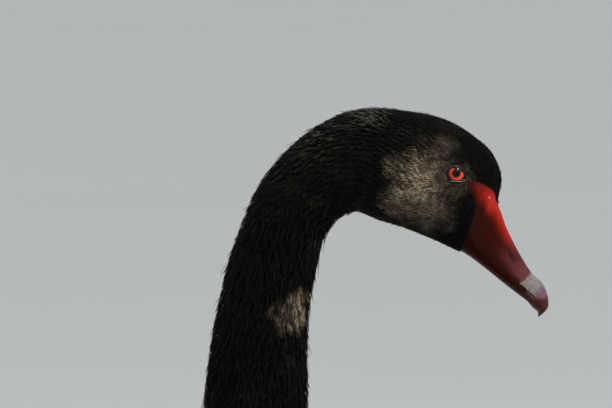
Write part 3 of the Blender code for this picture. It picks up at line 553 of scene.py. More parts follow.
def mesh_piece(name, shape, look, slot, nodes=(), bake_uv=None, **fields):
    """Smooth mesh object from its points and its arrays of quads and triangles.

    bake_uv and the fields hold one value for each point. The object rides on the body and
    stands for the named nodes of the frame."""
    points, faces = shape
    if not len(points) or not np.isfinite(points).all():
        raise RuntimeError(f"{name} has no usable points")
    mesh = bpy.data.meshes.new(name)
    mesh.vertices.add(len(points))
    mesh.vertices.foreach_set("co", np.asarray(points, np.float32).ravel())
    corners = np.concatenate([np.asarray(f, np.int32).ravel() for f in faces])
    sizes = np.concatenate([np.full(len(f), f.shape[1], np.int32) for f in faces])
    mesh.loops.add(len(corners))
    mesh.loops.foreach_set("vertex_index", corners)
    mesh.polygons.add(len(sizes))
    mesh.polygons.foreach_set("loop_start", (np.cumsum(sizes) - sizes).astype(np.int32))
    mesh.polygons.foreach_set("use_smooth", np.ones(len(sizes), bool))
    mesh.update(calc_edges=True)
    if bake_uv is not None:
        layer = mesh.uv_layers.new(name=BAKE_MAP)
        layer.data.foreach_set("uv", np.asarray(bake_uv, np.float32)[corners].ravel())
    for word, values in fields.items():
        kind, key = ("FLOAT_VECTOR", "vector") if np.ndim(values) == 2 else ("FLOAT", "value")
        attribute = mesh.attributes.new(word, kind, "POINT")
        attribute.data.foreach_set(key, np.asarray(values, np.float32).ravel())
    if mesh.validate():
        raise RuntimeError(f"{name} has faces that had to be mended")
    mesh.materials.append(look)
    piece = in_scene(name, mesh)
    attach(piece, BODY)
    if nodes:
        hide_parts(*nodes)
    return piece


def in_scene(name, data):
    """New object of the scene with this data."""
    item = bpy.data.objects.new(name, data)
    bpy.context.scene.collection.objects.link(item)
    return item


def grid_quads(rows, columns, closed_rows=False, closed_columns=False):
    """Quads of a grid of points, also from its last row or column back to its first."""
    i, j = np.meshgrid(
        np.arange(rows - 1 + closed_rows), np.arange(columns - 1 + closed_columns), indexing="ij",
    )
    below, beside = (i + 1) % rows, (j + 1) % columns
    corners = (i * columns + j, below * columns + j, below * columns + beside, i * columns + beside)
    return np.stack(corners, axis=-1).reshape(-1, 4)


def end_fan(tip, ring):
    """Triangles from a tip to every edge of a ring of points."""
    return np.stack([np.full(len(ring), tip), ring, np.roll(ring, -1)], axis=-1)


def closed_tube(rings, start=None, end=None):
    """Points and faces of stacked rings, with a fan to an end point at either end."""
    start = rings[0].mean(axis=0) if start is None else start
    end = rings[-1].mean(axis=0) if end is None else end
    rows, count = rings.shape[:2]
    ring, first = np.arange(count), rows * count
    quads = grid_quads(rows, count, closed_columns=True)[:, [0, 3, 2, 1]]
    fans = np.concatenate([end_fan(first, ring)[:, [0, 2, 1]], end_fan(first + 1, first - count + ring)])
    return np.concatenate([rings.reshape(-1, 3), [start], [end]]), [quads, fans]


def sheet_faces(rows, columns):
    """Quads of a closed thin sheet: its top, its underside after it, and its edge."""
    half, top = rows * columns, grid_quads(rows, columns)
    rim = np.concatenate([
        np.arange(columns),
        np.arange(1, rows) * columns + columns - 1,
        (rows - 1) * columns + np.arange(columns - 2, -1, -1),
        np.arange(rows - 2, 0, -1) * columns,
    ])
    after = np.roll(rim, -1)
    edge = np.stack([rim, after, after + half, rim + half], axis=-1)
    return np.concatenate([top, top[:, ::-1] + half, edge])


def repeated(faces, count, size):
    """The same faces for count copies that have size points each."""
    return (faces[None] + (np.arange(count) * size)[:, None, None]).reshape(-1, faces.shape[1])


def joined(parts):
    """Several sets of points, faces and any values at the points, as one set."""
    points, faces, *fields = zip(*parts)
    starts = np.cumsum([0] + [len(own) for own in points])
    faces = [f + start for own, start in zip(faces, starts) for f in own]
    return np.concatenate(points), faces, *(np.concatenate(own) for own in fields)


def spread(first, last, density, offset):
    """Places spread evenly by area and density over a stretch of the loft.

    Each number of a two-part golden sequence goes through the inverse of the running
    sum of area times density, first round the section and then along it."""
    s = np.linspace(first, last, SPREAD_ROWS)[:, None]
    a = np.linspace(-180.0, 180.0, 361)[None, :]
    s, a = np.broadcast_arrays(s, a)
    reach, _, girth = lay_axes(s, a)
    weight = reach * np.abs(girth) * density(s, a)
    i = np.arange(int(weight.sum() * ((last - first) / SPREAD_ROWS)))
    p = (offset + i * GOLDEN[0]) % 1
    q = (offset * 0.37 + i * GOLDEN[1]) % 1
    by_angle = np.concatenate([[0.0], np.cumsum(weight.sum(axis=0))])
    angle = np.interp(p * by_angle[-1], by_angle, np.linspace(-180.5, 180.5, 362))
    steps = np.linspace(0.0, 1.0, SPREAD_STEPS + 1)
    along = np.cumsum(weight, axis=0) + 1e-12
    table = np.array([np.interp(steps, along[:, k] / along[-1, k], s[:, k]) for k in range(361)])
    column = np.clip(np.round(angle + 180.0).astype(int), 0, 360)
    k = np.clip((q * SPREAD_STEPS).astype(int), 0, SPREAD_STEPS - 1)
    part = q * SPREAD_STEPS - k
    return table[column, k] * (1 - part) + table[column, k + 1] * part, angle


def around_eye(s, angle, turn):
    """Turn of the lie where it parts round either eye, like a stream round a post."""
    for side in (LEFT, RIGHT):
        x, y = from_spot(s, angle, EYE_LENGTH, EYE_ANGLE * side)
        r2 = np.maximum(x * x + y * y, EYE_POST * EYE_POST * 0.8)
        flow_x = 1 - EYE_POST**2 * (x * x - y * y) / r2**2
        flow_y = -(EYE_POST**2) * 2 * x * y / r2**2
        near = np.exp(-((np.sqrt(r2) / EYE_REACH) ** 2))
        turn = turn + np.degrees(np.arctan2(flow_y, np.maximum(flow_x, 0.15))) * near
    return turn


def marked(roots, span, t, across, reach, draw):
    """Bake places and marks of feathers whose rows lie at shares t and columns across.

    Each has a patch of the bake map at its root's place on the unrolled loft. A mark is
    the place across, the length along, a number of the feather's own and the share t."""
    s, angle = roots
    u = (s - span[0]) / (span[1] - span[0]) * (1 - BAKE_PATCH)
    v = (angle + 180.0) / 360.0 * (1 - BAKE_PATCH)
    u, v, patch_t, patch_across = np.broadcast_arrays(u[:, None, None], v[:, None, None], t, across)
    uv = np.stack([u + BAKE_PATCH * patch_t, v + BAKE_PATCH * (patch_across + 1) / 2], axis=-1)
    own = draw.random(len(s))[:, None, None]
    return uv, np.stack(np.broadcast_arrays(across, reach, own, t), axis=-1)


def laid(roots, turn, reach, beside, bend):
    """Places on the loft at a reach along feathers and a distance beside their middle line."""
    s, angle = (g[:, None, None] for g in roots)
    a = np.radians(turn)[:, None, None]
    x = reach * np.cos(a + bend) - beside * np.sin(a)
    y = reach * np.sin(a + bend) + beside * np.cos(a)
    return lay(s, angle, x, y)


def blades(profile, roots, turn, length, width, low, high, ridge, span, draw):
    """Closed three-sided blades, drawn to a point, that rise from low to high on the loft.

    Each has rows of left edge, ridge and right edge, whose width follows the blade's
    own profile, and bends a little to one side towards its tip."""
    count, last = len(roots[0]), len(profile) - 1
    length, width, low, high = (g[:, None, None] for g in (length, width, low, high))
    rows, widths = np.array(profile).T
    t, widths = rows[None, :, None], widths[None, :, None]
    across = np.array([-1.0, 0.0, 1.0])[None, None, :]
    bend = draw.normal(0.0, BLADE_BEND, count)[:, None, None] * t**2
    reach = length * t
    places = laid(roots, turn, reach, across * (width / 2 * widths), bend)
    height = low + (high - low) * t**0.8 + ridge * (1 - np.abs(across)) * widths
    points = surface(*places, height + wing_swell(*places))
    uv, mark = marked(roots, span, t, across, reach, draw)
    points, uv, mark = (
        np.concatenate([g[:, :last].reshape(count, 3 * last, -1), g[:, last, 1:2]], axis=1)
        for g in (points, uv, mark)
    )
    tip, size = 3 * last, 3 * last + 1
    ends = [(0, 1, 2), (tip - 3, tip, tip - 2), (tip - 2, tip, tip - 1), (tip - 3, tip - 1, tip)]
    quads = []
    for left in range(0, tip - 3, 3):
        middle, right = left + 1, left + 2
        quads.append((left, left + 3, middle + 3, middle))
        quads.append((middle, middle + 3, right + 3, right))
        quads.append((left, right, right + 3, left + 3))
    faces = [repeated(np.array(own), count, size) for own in (quads, ends)]
    return points.reshape(-1, 3), faces, uv.reshape(-1, 2), mark.reshape(-1, 4)


def two_sided(top, under, uv, mark):
    """Points, faces, bake places and marks of thin feathers, from their upper and under sides."""
    count, rows, columns = top.shape[:3]
    points = np.concatenate([g.reshape(count, -1, 3) for g in (top, under)], axis=1)
    uv, mark = (np.tile(g.reshape(count, rows * columns, -1), (1, 2, 1)) for g in (uv, mark))
    faces = [repeated(sheet_faces(rows, columns), count, 2 * rows * columns)]
    return points.reshape(-1, 3), faces, uv.reshape(-1, 2), mark.reshape(-1, 4)


def vanes(roots, turn, length, width, low, high, shape, span, draw):
    """Closed thin feathers with rounded, slightly ragged tips, laid on the loft.

    They widen over their first part and narrow towards the tip. Their height rises from
    low to high, sinks to the edges by the arch, waves there and curls up at the tip."""
    count, (rows, columns) = len(roots[0]), shape["grid"]
    length, width, low, high = (g[:, None, None] for g in (length, width, low, high))
    t = np.linspace(0.0, 1.0, rows)[None, :, None] ** 0.9
    across = np.linspace(-1.0, 1.0, columns)[None, None, :]
    profile = 0.42 + 0.58 * np.sin(np.pi * np.minimum(t / 0.62, 1.0) / 2)
    profile = profile * np.sqrt(1 - shape["taper"] * np.clip((t - 0.58) / 0.42, 0.0, 1.0) ** 2)
    half = width / 2 * profile
    bend = draw.normal(0.0, VANE_BEND, count)[:, None, None] * t**2
    ragged = draw.normal(0.0, shape["ragged"], (count, 1, columns)) * t**4
    reach = length * (t - shape["round"] * across**2 * t**3 + ragged)
    places = laid(roots, turn, reach, across * half, bend)
    height = low + (high - low) * t**0.8 - shape["arch"] * half / half.max() * across**2
    phase = draw.uniform(0.0, 2 * np.pi, count)[:, None, None]
    wave = np.sin(phase + 2 * np.pi * t * shape.get("waves", 2.0) + across)
    height = height + shape.get("ruffle", 0.0) * wave * across**2 * t
    curl = shape.get("curl", np.zeros(count))[:, None, None]
    height = height + curl * np.clip((t - 0.45) / 0.55, 0.0, 1.0) ** 2 + wing_swell(*places)
    height = height + shape["rib"] * np.exp(-((across / 0.09) ** 2)) * (1 - t)
    thick = shape["thick"] / 2 * (1 - 0.6 * across**2)
    top, under = surface(*places, height + thick), surface(*places, height - thick)
    return two_sided(top, under, *marked(roots, span, t, across, reach, draw))


def straight_vanes(roots, tips, normals, width, bow, places, span, draw):
    """Long thin feathers that run straight from root to tip, bowed, arched across, with a quill."""
    t = np.linspace(0.0, 1.0, 16)[None, :, None]
    across = np.linspace(-1.0, 1.0, 9)[None, None, :]
    half = width / 2 * (0.5 + 0.5 * np.sin(np.pi * np.minimum(t / 0.6, 1.0) / 2))
    half = half * np.sqrt(1 - 0.80 * np.clip((t - 0.70) / 0.30, 0.0, 1.0) ** 2)
    ragged = draw.normal(0.0, 0.004, (len(roots), 1, across.size)) * t**6
    share = np.minimum(t - 0.08 * across**2 * t**3 + ragged, 1.0)[..., None]
    forth = tips - roots
    beside = unit(np.cross(normals, forth))[:, None, None]
    above = unit(np.cross(forth, beside[:, 0, 0]))[:, None, None]
    centre = roots[:, None, None] + forth[:, None, None] * share + beside * (across * half)[..., None]
    centre = centre + above * (4 * bow * share * (1 - share) - 0.0009 * across[..., None] ** 2)
    thick = 0.00028 * (1 - 0.5 * across**2) + 0.0002 * np.exp(-((across / 0.09) ** 2)) * (1 - t)
    lift = above * thick[..., None]
    reach = share[..., 0] * np.linalg.norm(forth, axis=-1)[:, None, None]
    return two_sided(centre + lift, centre - lift, *marked(places, span, t, across, reach, draw))


def coat_piece(name, parts, look, slot="black_plumage", nodes=()):
    """Feathers as one piece, with their bake map and marks."""
    points, faces, uv, mark = parts
    return mesh_piece(name, (points, faces), look, slot, nodes, uv, mark=mark[:, :3], tip=mark[:, 3])


class Look:
    """A Principled material, with short ways to add nodes to it in the object's own space."""

    def __init__(self, name):
        self.material = bpy.data.materials.new(name)
        self.material.use_nodes = True
        self.tree = self.material.node_tree
        self.where = self.add("TexCoord").outputs["Object"]

    def add(self, kind, inputs=None, **options):
        """New node with its options set and its named inputs filled."""
        node = self.tree.nodes.new("ShaderNode" + kind)
        for word, value in options.items():
            setattr(node, word, value)
        return self.fill(node, inputs or {})

    def fill(self, node, inputs):
        """Link each input of a node, or set it; a colour gets its fourth number."""
        for word, value in inputs.items():
            socket = node.inputs[word]
            if isinstance(value, bpy.types.NodeSocket):
                self.tree.links.new(value, socket)
            else:
                socket.default_value = (*value, 1.0) if socket.type == "RGBA" else value
        return node

    def math(self, operation, first, second=0.0):
        return self.add("Math", {0: first, 1: second}, operation=operation).outputs[0]

    def vector(self, operation, inputs, output=0):
        return self.add("VectorMath", inputs, operation=operation).outputs[output]

    def times(self, first, *others):
        for value in others:
            first = self.math("MULTIPLY", first, value)
        return first

    def plus(self, first, second):
        return self.math("ADD", first, second)

    def minus(self, first, second):
        return self.math("SUBTRACT", first, second)

    def most(self, first, second):
        return self.math("MAXIMUM", first, second)

    def waves(self, value, factor):
        return self.math("SINE", self.times(value, factor))

    def ramp(self, value, low, high, out_low=0.0, out_high=1.0):
        """Value carried smoothly from one range to another."""
        words = ("Value", "From Min", "From Max", "To Min", "To Max")
        inputs = dict(zip(words, (value, low, high, out_low, out_high)))
        return self.add("MapRange", inputs, interpolation_type="SMOOTHSTEP").outputs[0]

    def mix(self, share, first, second, blend="MIX"):
        """Colour between two colours, or their product."""
        inputs = {0: share, 6: first, 7: second}
        return self.add("Mix", inputs, data_type="RGBA", blend_type=blend).outputs[2]

    def layers(self, colour, *steps):
        """Colour with others laid over it in turn, each by its own share."""
        for share, over in steps:
            colour = self.mix(share, colour, over)
        return colour

    def noise(self, scale, detail=3.0, roughness=0.55, where=None, stretch=None, output="Fac"):
        """Noise in the object's space or along another vector, stretched where asked."""
        where = self.where if where is None else where
        if stretch is not None:
            where = self.add("Mapping", {"Vector": where, "Scale": stretch}).outputs[0]
        inputs = {"Vector": where, "Scale": scale, "Detail": detail, "Roughness": roughness}
        return self.add("TexNoise", inputs).outputs[output]

    def field(self, name, output="Vector"):
        """Value that the piece holds at each point."""
        return self.add("Attribute", attribute_name=name).outputs[output]

    def parts(self, vector):
        return self.add("SeparateXYZ", {0: vector}).outputs

    def whole(self, *numbers):
        return self.add("CombineXYZ", dict(enumerate(numbers))).outputs[0]

    def distance(self, first, second):
        return self.vector("DISTANCE", {0: first, 1: second}, "Value")

    def wandering(self, scale, reach):
        """Places moved about by up to half a reach, so that what is read there has ragged edges."""
        drift = self.noise(scale, roughness=0.5, output="Color")
        step = self.vector("SCALE", {0: self.vector("SUBTRACT", {0: drift, 1: (0.5,) * 3}), "Scale": reach})
        return self.vector("ADD", {0: self.where, 1: step})

    def patch(self, centre, radius, where=None):
        """1 at a place that both sides of the bird have, fading smoothly to 0 at a radius."""
        x, y, z = self.parts(self.where if where is None else where)
        folded = self.whole(x, self.math("ABSOLUTE", y), z)
        return self.ramp(self.distance(folded, centre), radius, radius * 0.15)

    def finish(self, inputs, height=None, strength=0.0, depth=0.0):
        """Material whose shader has these inputs and a bump by height."""
        shader = self.fill(self.tree.nodes["Principled BSDF"], inputs)
        if height is not None:
            bump = {"Height": height, "Strength": strength, "Distance": depth}
            self.fill(shader, {"Normal": self.add("Bump", bump).outputs[0]})
        return self.material


def plumage_colour(look, settings):
    """Black with soft grey patches that are partly painted sheen, and patches of painted sunlight on partly
    brown feathers on the cheek and on the front of the neck.
    """
    blotch = look.ramp(look.noise(260.0, detail=2.0), 0.30, 0.66, 0.36, 1.0)
    share = look.ramp(look.noise(22.0, detail=2.0), 0.45, 0.80, 0.0, 0.014)
    ragged = look.wandering(85.0, 0.030)
    # Painted sunlight: patches where the cheek and the front of the neck are lit, over feathers that are
    # partly brown.
    for centre, radius, strength in SUNLIT_BROWN_PATCHES:
        share = look.most(share, look.times(look.patch(centre, radius, ragged), strength, blotch))
    # Soft grey patches, partly painted sheen and partly worn feathers.
    lit = look.ramp(look.noise(75.0), 0.50, 0.74, 0.0, 0.60)
    return look.mix(share, look.mix(lit, settings.black, settings.worn_and_sheen_grey), settings.brown)


def skin_look(settings):
    """Dark skin under the feathers, with the plumage's own markings, its painted sunlight and sheen
    included, and a grained bump.
    """
    look = Look("plumage_skin")
    grain = look.noise(900.0, detail=4.0)
    return look.finish({
        "Base Color": look.mix(0.45, plumage_colour(look, settings), SKIN_SHADE),
        "Roughness": look.ramp(grain, 0.3, 0.7, 0.62, 0.80),
        "Specular IOR Level": 0.10,
    }, grain, 0.5, 0.0004)


def feather_look(settings, name):
    """Black feathers: a tone for each, a worn fringe, fine slanting barbs, and streaks of painted sheen.

    It is made when it is first asked for. The piece's mark field gives the place across the
    vane, the length along it and a number of its own for each feather; its tip field is 1
    at the feather's tip."""
    if name in bpy.data.materials:
        return bpy.data.materials[name]
    barb, gloss, fringe, lines = FEATHER_LOOKS[name]
    look = Look(name)
    across, along, own = look.parts(look.field("mark"))
    side = look.math("ABSOLUTE", across)
    edge = look.most(look.ramp(side, 0.72, 1.0), look.ramp(look.field("tip", "Fac"), 0.84, 1.0))
    base = look.mix(look.times(edge, fringe), plumage_colour(look, settings), settings.edge)
    # Painted sheen: paler streaks on some feathers of the hind crown and nape.
    for centre, radius, dull in SHEEN_STREAKS:
        glossy = look.times(look.patch(centre, radius), look.ramp(own, dull, 1.0), 0.8)
        base = look.mix(glossy, base, settings.sheen_streak)
    phase = look.minus(along, look.times(side, barb * BARB_SLANT))
    stripes = look.waves(phase, 2 * math.pi / barb)
    strands = look.noise(
        1.0, detail=4.0, where=look.whole(look.times(across, 0.6), phase, own), stretch=(3.0, 900.0, 40.0),
    )
    tone = look.ramp(strands, 0.3, 0.7, 1 - lines, 1 + lines)
    tone = look.times(tone, look.ramp(own, 0.0, 1.0, 0.70, 1.36))
    grain = look.noise(1400.0, detail=2.0)
    low = settings.roughness - gloss
    return look.finish({
        "Base Color": look.mix(1.0, base, look.whole(tone, tone, tone), "MULTIPLY"),
        "Roughness": look.ramp(strands, 0.3, 0.7, low, low + 0.14),
        "Specular IOR Level": 0.035 + gloss,
        "Sheen Weight": settings.sheen,
        "Sheen Roughness": 0.45,
        "Sheen Tint": SHEEN_TINT,
    }, look.plus(look.times(stripes, 0.4), look.plus(strands, grain)), 0.2 + lines, 0.00025)


def white_look(settings):
    """White flight feathers: barbs as fine bump, a shaded shaft and dusty patches."""
    look = Look("white_vane")
    across, along, own = look.parts(look.field("mark"))
    side = look.math("ABSOLUTE", across)
    dusty = look.ramp(look.noise(60.0), 0.40, 0.75, 0.0, 0.35)
    barbs = look.waves(look.minus(along, look.times(side, 0.005)), 2 * math.pi / 0.0012)
    return look.finish({
        "Base Color": look.layers(settings.white, (dusty, DUST), (look.ramp(side, 0.10, 0.04), SHAFT)),
        "Roughness": look.ramp(own, 0.0, 1.0, 0.48, 0.62),
        "Specular IOR Level": 0.35,
    }, barbs, 0.25, 0.0003)


def bill_look(settings, name, dark, specular):
    """Smooth horny bill: red along the ridge with a painted highlight at its root, painted shade deeper
    down the sides and low along the mouth, a pale band and the nail.

    The bill's own fields give the length from the tip, the turn from the ridge and the
    nostrils' hollow. Colours are laid over each other from the ridge's red onwards."""
    look = Look(name)
    along, turn, hollow = look.parts(look.field("bill_place"))
    soft = look.noise(70.0, detail=4.0)
    turned = look.plus(turn, look.ramp(soft, 0.3, 0.7, -5.0, 5.0))
    ridge_end = look.ramp(along, 0.052, 0.066, 9.0, 48.0)
    side_start = look.ramp(along, 0.053, 0.073, 60.0, 84.0)
    # Painted shade: the sides off the ridge, and all of the lower bill by the dark share, turn deep red.
    shaded_side = look.most(look.ramp(turned, ridge_end, side_start), dark)
    # Painted highlight: the lit root of the ridge turns bright red.
    ridge_and_highlight = look.mix(look.ramp(along, 0.0595, 0.0665), settings.red, settings.bright)
    veins = look.ramp(look.noise(420.0, detail=5.0, roughness=0.65), 0.50, 0.72, 0.0, 0.25)
    # Painted shade where the feathers meet the bill and round its point towards the eye.
    root = look.ramp(look.field("bill_share", "Fac"), 0.89, 1.0, 0.0, 0.92)
    root = look.times(root, look.ramp(turn, 35.0, 64.0))
    root = look.most(root, look.times(look.patch(LORE, 0.0115), 0.85))
    rough = look.ramp(look.noise(240.0), 0.2, 0.8, -0.0008, 0.0008)
    at = look.plus(along, rough)
    start, end = settings.band_start, settings.band_end
    limit = look.ramp(along, start, start + 0.0055, 62.0, 98.0)
    off = look.minus(look.plus(turn, look.ramp(rough, -0.0008, 0.0008, -3.0, 3.0)), limit)
    band = look.times(
        look.ramp(at, end + 0.0008, end - 0.0012),
        look.ramp(at, start, start + 0.0022),
        look.ramp(look.noise(380.0, detail=5.0), 0.30, 0.70, 0.62, 1.0),
        look.ramp(off, 2.0, -4.0),
    )
    seam = look.times(
        look.ramp(off, 4.0, 7.0),
        look.ramp(off, 12.0, 9.0),
        look.ramp(at, 0.0150, 0.0120),
        look.ramp(at, 0.0028, 0.0055),
        0.38,
    )
    pale = look.mix(look.ramp(along, 0.0125, 0.0065), settings.band, settings.mauve)
    colour = look.layers(
        ridge_and_highlight,
        (shaded_side, settings.deep),
        (look.ramp(along, 0.048, 0.034), settings.purple),
        (look.times(look.ramp(along, 0.034, 0.023), 0.85), HAZE),
        # Painted shade low down along the mouth.
        (look.ramp(turned, 76.0, 102.0), settings.side),
        (veins, VEIN),
        (root, BILL_ROOT_SHADE),
        # Painted highlight on the bill's base.
        (look.times(look.patch(BILL_GLINT, 0.0011), 0.75), GLINT_PINK),
        (look.ramp(along, 0.0160, 0.0120, 0.0, 0.9), settings.tip),
        (seam, pale),
        (band, pale),
        # Painted shade in the nostrils' hollow.
        (look.times(hollow, 0.60), NOSTRIL_SHADE),
    )
    return look.finish({
        "Base Color": colour,
        "Roughness": look.ramp(soft, 0.3, 0.7, 0.40, 0.54),
        "Specular IOR Level": specular,
    }, look.plus(look.noise(1500.0), look.times(soft, 2.0)), 0.25, 0.0002)


def eye_look(settings):
    """Wet eye: black pupil, red iris with fine spokes, a dark outer ring and the brow's shade.

    The eye's own field gives the place ahead of its axis, above it, and the depth behind
    its front."""
    look = Look("wet_eye")
    ahead, up, depth = look.parts(look.field("eye_place"))
    flat, middle = look.whole(ahead, up), (*PUPIL_OFFSET, 0.0)
    round_pupil = look.vector("NORMALIZE", {0: look.vector("SUBTRACT", {0: flat, 1: middle})})
    spokes = look.noise(6.5, detail=5.0, roughness=0.75, where=round_pupil)
    away, from_pupil = look.distance(flat, (0.0, 0.0, 0.0)), look.distance(flat, middle)
    pupil, iris = settings.pupil_radius, settings.iris_radius
    raised = look.plus(look.times(ahead, BROW_SHADE[0]), look.times(up, BROW_SHADE[1]))
    colour = look.layers(
        settings.iris,
        (look.ramp(spokes, 0.38, 0.70, 0.0, 0.75), IRIS_SPOKE),
        (look.times(look.ramp(from_pupil, pupil * 1.45, pupil * 0.98), 0.75), IRIS_INNER),
        (look.ramp(away, iris * 0.84, iris), IRIS_RING),
        (look.ramp(raised, *BROW_SHADE[2:]), BROW_DARK),
        (look.ramp(from_pupil, pupil * 1.06, pupil * 0.94), PUPIL_BLACK),
        (look.ramp(depth, 0.0040, 0.0050), EYE_REAR),
    )
    return look.finish({
        "Base Color": colour,
        "Roughness": 0.35,
        "Specular IOR Level": 0.05,
        "Coat Weight": 0.5,
        "Coat IOR": 1.37,
        "Coat Roughness": 0.02,
    }, spokes, 0.2, 0.0002)


def lid_look(settings):
    """Bare crinkled lid: dark, with a pale rim on the lower lid."""
    look = Look("eye_lid")
    ring, _, lower = look.parts(look.field("lid_place"))
    grain = look.noise(1600.0, detail=4.0)
    return look.finish({
        "Base Color": look.layers(
            settings.lid, (look.ramp(grain, 0.4, 0.7, 0.0, 0.5), LID_FOLD), (lower, settings.rim),
        ),
        "Roughness": look.ramp(grain, 0.3, 0.7, 0.46, 0.66),
        "Specular IOR Level": 0.15,
    }, look.plus(look.waves(ring, 26.0), grain), 0.4, 0.0002)


def leg_look(name, base, scaly):
    """Dark scaly legs: small cells of scale with darker seams, or plain horn for the claws."""
    look = Look(name)
    tone = look.ramp(look.noise(120.0), 0.3, 0.7)
    paler, darker = ([min(1.0, v * factor) for v in base] for factor in (2.4, 0.45))
    colour, height = look.mix(look.times(tone, 0.6), base, paler), None
    if scaly:
        inputs = {"Vector": look.where, "Scale": 520.0}
        cells = look.add("TexVoronoi", inputs, feature="DISTANCE_TO_EDGE").outputs["Distance"]
        colour = look.mix(look.ramp(cells, 0.10, 0.02), colour, darker)
        height = look.ramp(cells, 0.0, 0.14)
    roughness = look.ramp(tone, 0.0, 1.0, 0.42, 0.58)
    return look.finish({"Base Color": colour, "Roughness": roughness}, height, 0.6, 0.0004)


def build_skin(settings):
    """One closed skin over head, neck, body and wing bulges, a coat's depth inside the loft.

    It sinks a little deeper where the bill covers it."""
    start = place("bill_base") - SKIN_LEAD
    s = start + (LOFT_END - start) * np.linspace(0.0, 1.0, SKIN_GRID[0])[:, None] ** 1.35
    s, angle = np.broadcast_arrays(s, np.linspace(0.0, 360.0, SKIN_GRID[1])[None, :-1])
    turned = signed(angle)
    covered = smooth(edge_length(turned) + 0.0004 - s, 0.0, 0.0020)
    rings = surface(s, angle, wing_swell(s, turned) - coat_value(s, 1) - UNDER_BILL * covered)
    nodes = ("head", "neck_upper", "neck_middle", "neck_lower", "torso")
    return mesh_piece("skin", closed_tube(rings), skin_look(settings), "black_plumage", nodes)


def head_density(s, angle):
    """Tufts for each square metre of the head: none on the bill and the lids."""
    there = (s > edge_length(angle) + 0.0003).astype(float)
    ahead, up = (size - 0.0002 for size in LID_RING)
    for side in (LEFT, RIGHT):
        x, y = from_spot(s, angle, EYE_LENGTH, EYE_ANGLE * side)
        there = there * ((x / ahead) ** 2 + (y / up) ** 2 > 1.0)
    return there * TUFT_LAYERS / (coat_value(s, 2) * coat_value(s, 3))


def build_head_coat(settings, name, first, last, offset):
    """Thousands of short velvety tufts, some of them standing a little proud."""
    draw = np.random.default_rng(settings.seed + int(offset * 100))
    s, angle = spread(first, last, lambda s, a: head_density(s, a) * settings.tufts, offset)
    count = len(s)
    turn = around_eye(s, angle, draw.normal(0.0, 8.0, count))
    length = coat_value(s, 2) * draw.uniform(0.8, 1.25, count)
    width = coat_value(s, 3) * draw.uniform(0.8, 1.2, count)
    proud = np.abs(draw.normal(0.0, 0.00016, count)) - 0.00015
    proud = proud + TUFT_STAND * (draw.random(count) > TUFTS_FLAT)
    parts = blades(
        TUFT, (s, angle), turn, length, width, -coat_value(s, 1) * 1.1, proud, 0.00014, (first, last), draw,
    )
    return coat_piece(name, parts, feather_look(settings, "velvet_feather"))


def vane_layer(span, density, offset, spreads, shape, draw):
    """Small feathers spread over a stretch of the loft, each turned and sized on its own."""
    turn, lengths, widths, rise = spreads
    s, angle = spread(*span, density, offset)
    count = len(s)
    return vanes(
        (s, angle), draw.normal(0.0, turn, count), coat_value(s, 2) * draw.uniform(*lengths, count),
        coat_value(s, 3) * draw.uniform(*widths, count), -coat_value(s, 1),
        draw.normal(-rise, rise, count), shape, span, draw,
    )


def build_neck_coat(settings, name, stations, offset):
    """Small rounded feathers in overlapping order, under finer hair-like tufts."""
    draw = np.random.default_rng(settings.seed + int(offset * 100))
    look, span = feather_look(settings, "velvet_feather"), [place(station) for station in stations]

    def vane_density(s, angle):
        return settings.tufts * NECK_LAYERS / (coat_value(s, 2) * coat_value(s, 3))

    def hair_density(s, angle):
        return settings.tufts * HAIR_LAYERS / (coat_value(s, 2) * HAIR_WIDTH)

    base = vane_layer(span, vane_density, offset, NECK_SPREADS, NECK_VANE, draw)
    s, angle = spread(*span, hair_density, offset + 0.17)
    count = len(s)
    length = coat_value(s, 2) * draw.uniform(0.65, 1.1, count)
    wisp = draw.random(count) > HAIRS_FLAT
    proud = np.abs(draw.normal(0.0002, 0.0005, count)) + WISP_STAND * wisp
    hair = blades(
        HAIR, (s, angle), draw.normal(0.0, 11.0, count), length * (1 + 0.35 * wisp),
        draw.uniform(0.0006, 0.0013, count), -coat_value(s, 1) * 0.5, proud, 0.0002, span, draw,
    )
    return coat_piece(name, base, look), coat_piece(name + "_fringe", hair, look)


def body_density(s, angle):
    """Feathers for each square metre of the body: few under the folded wings."""
    u, v = wing_place(s, angle)
    covered = smooth(u, 0.02, 0.08) * smooth(v, 0.02, 0.05) * smooth(v, 0.98, 0.90) * smooth(u, 0.99, 0.93)
    return BODY_LAYERS / (coat_value(s, 2) * coat_value(s, 3)) * (1 - covered)


def build_body_coat(settings, name, first, last, offset):
    """Soft rounded feathers over breast, flanks, back and belly, under a loose fringe."""
    draw = np.random.default_rng(settings.seed + int(offset * 100))
    look, span = feather_look(settings, "soft_vane"), (first, last)
    whole, part = settings.tufts, FRINGE_SHARE * settings.tufts
    base = vane_layer(span, lambda s, a: body_density(s, a) * whole, offset, BODY_SPREADS, BODY_VANE, draw)
    s, angle = spread(*span, lambda s, a: body_density(s, a) * part, offset + 0.29)
    count = len(s)
    length = coat_value(s, 2) * draw.uniform(0.45, 0.75, count)
    hair = blades(
        HAIR, (s, angle), draw.normal(0.0, 16.0, count), length, draw.uniform(0.0007, 0.0014, count),
        -0.4 * coat_value(s, 1), draw.normal(0.0003, 0.0004, count), 0.0002, span, draw,
    )
    return coat_piece(name, base, look), coat_piece(name + "_fringe", hair, look)


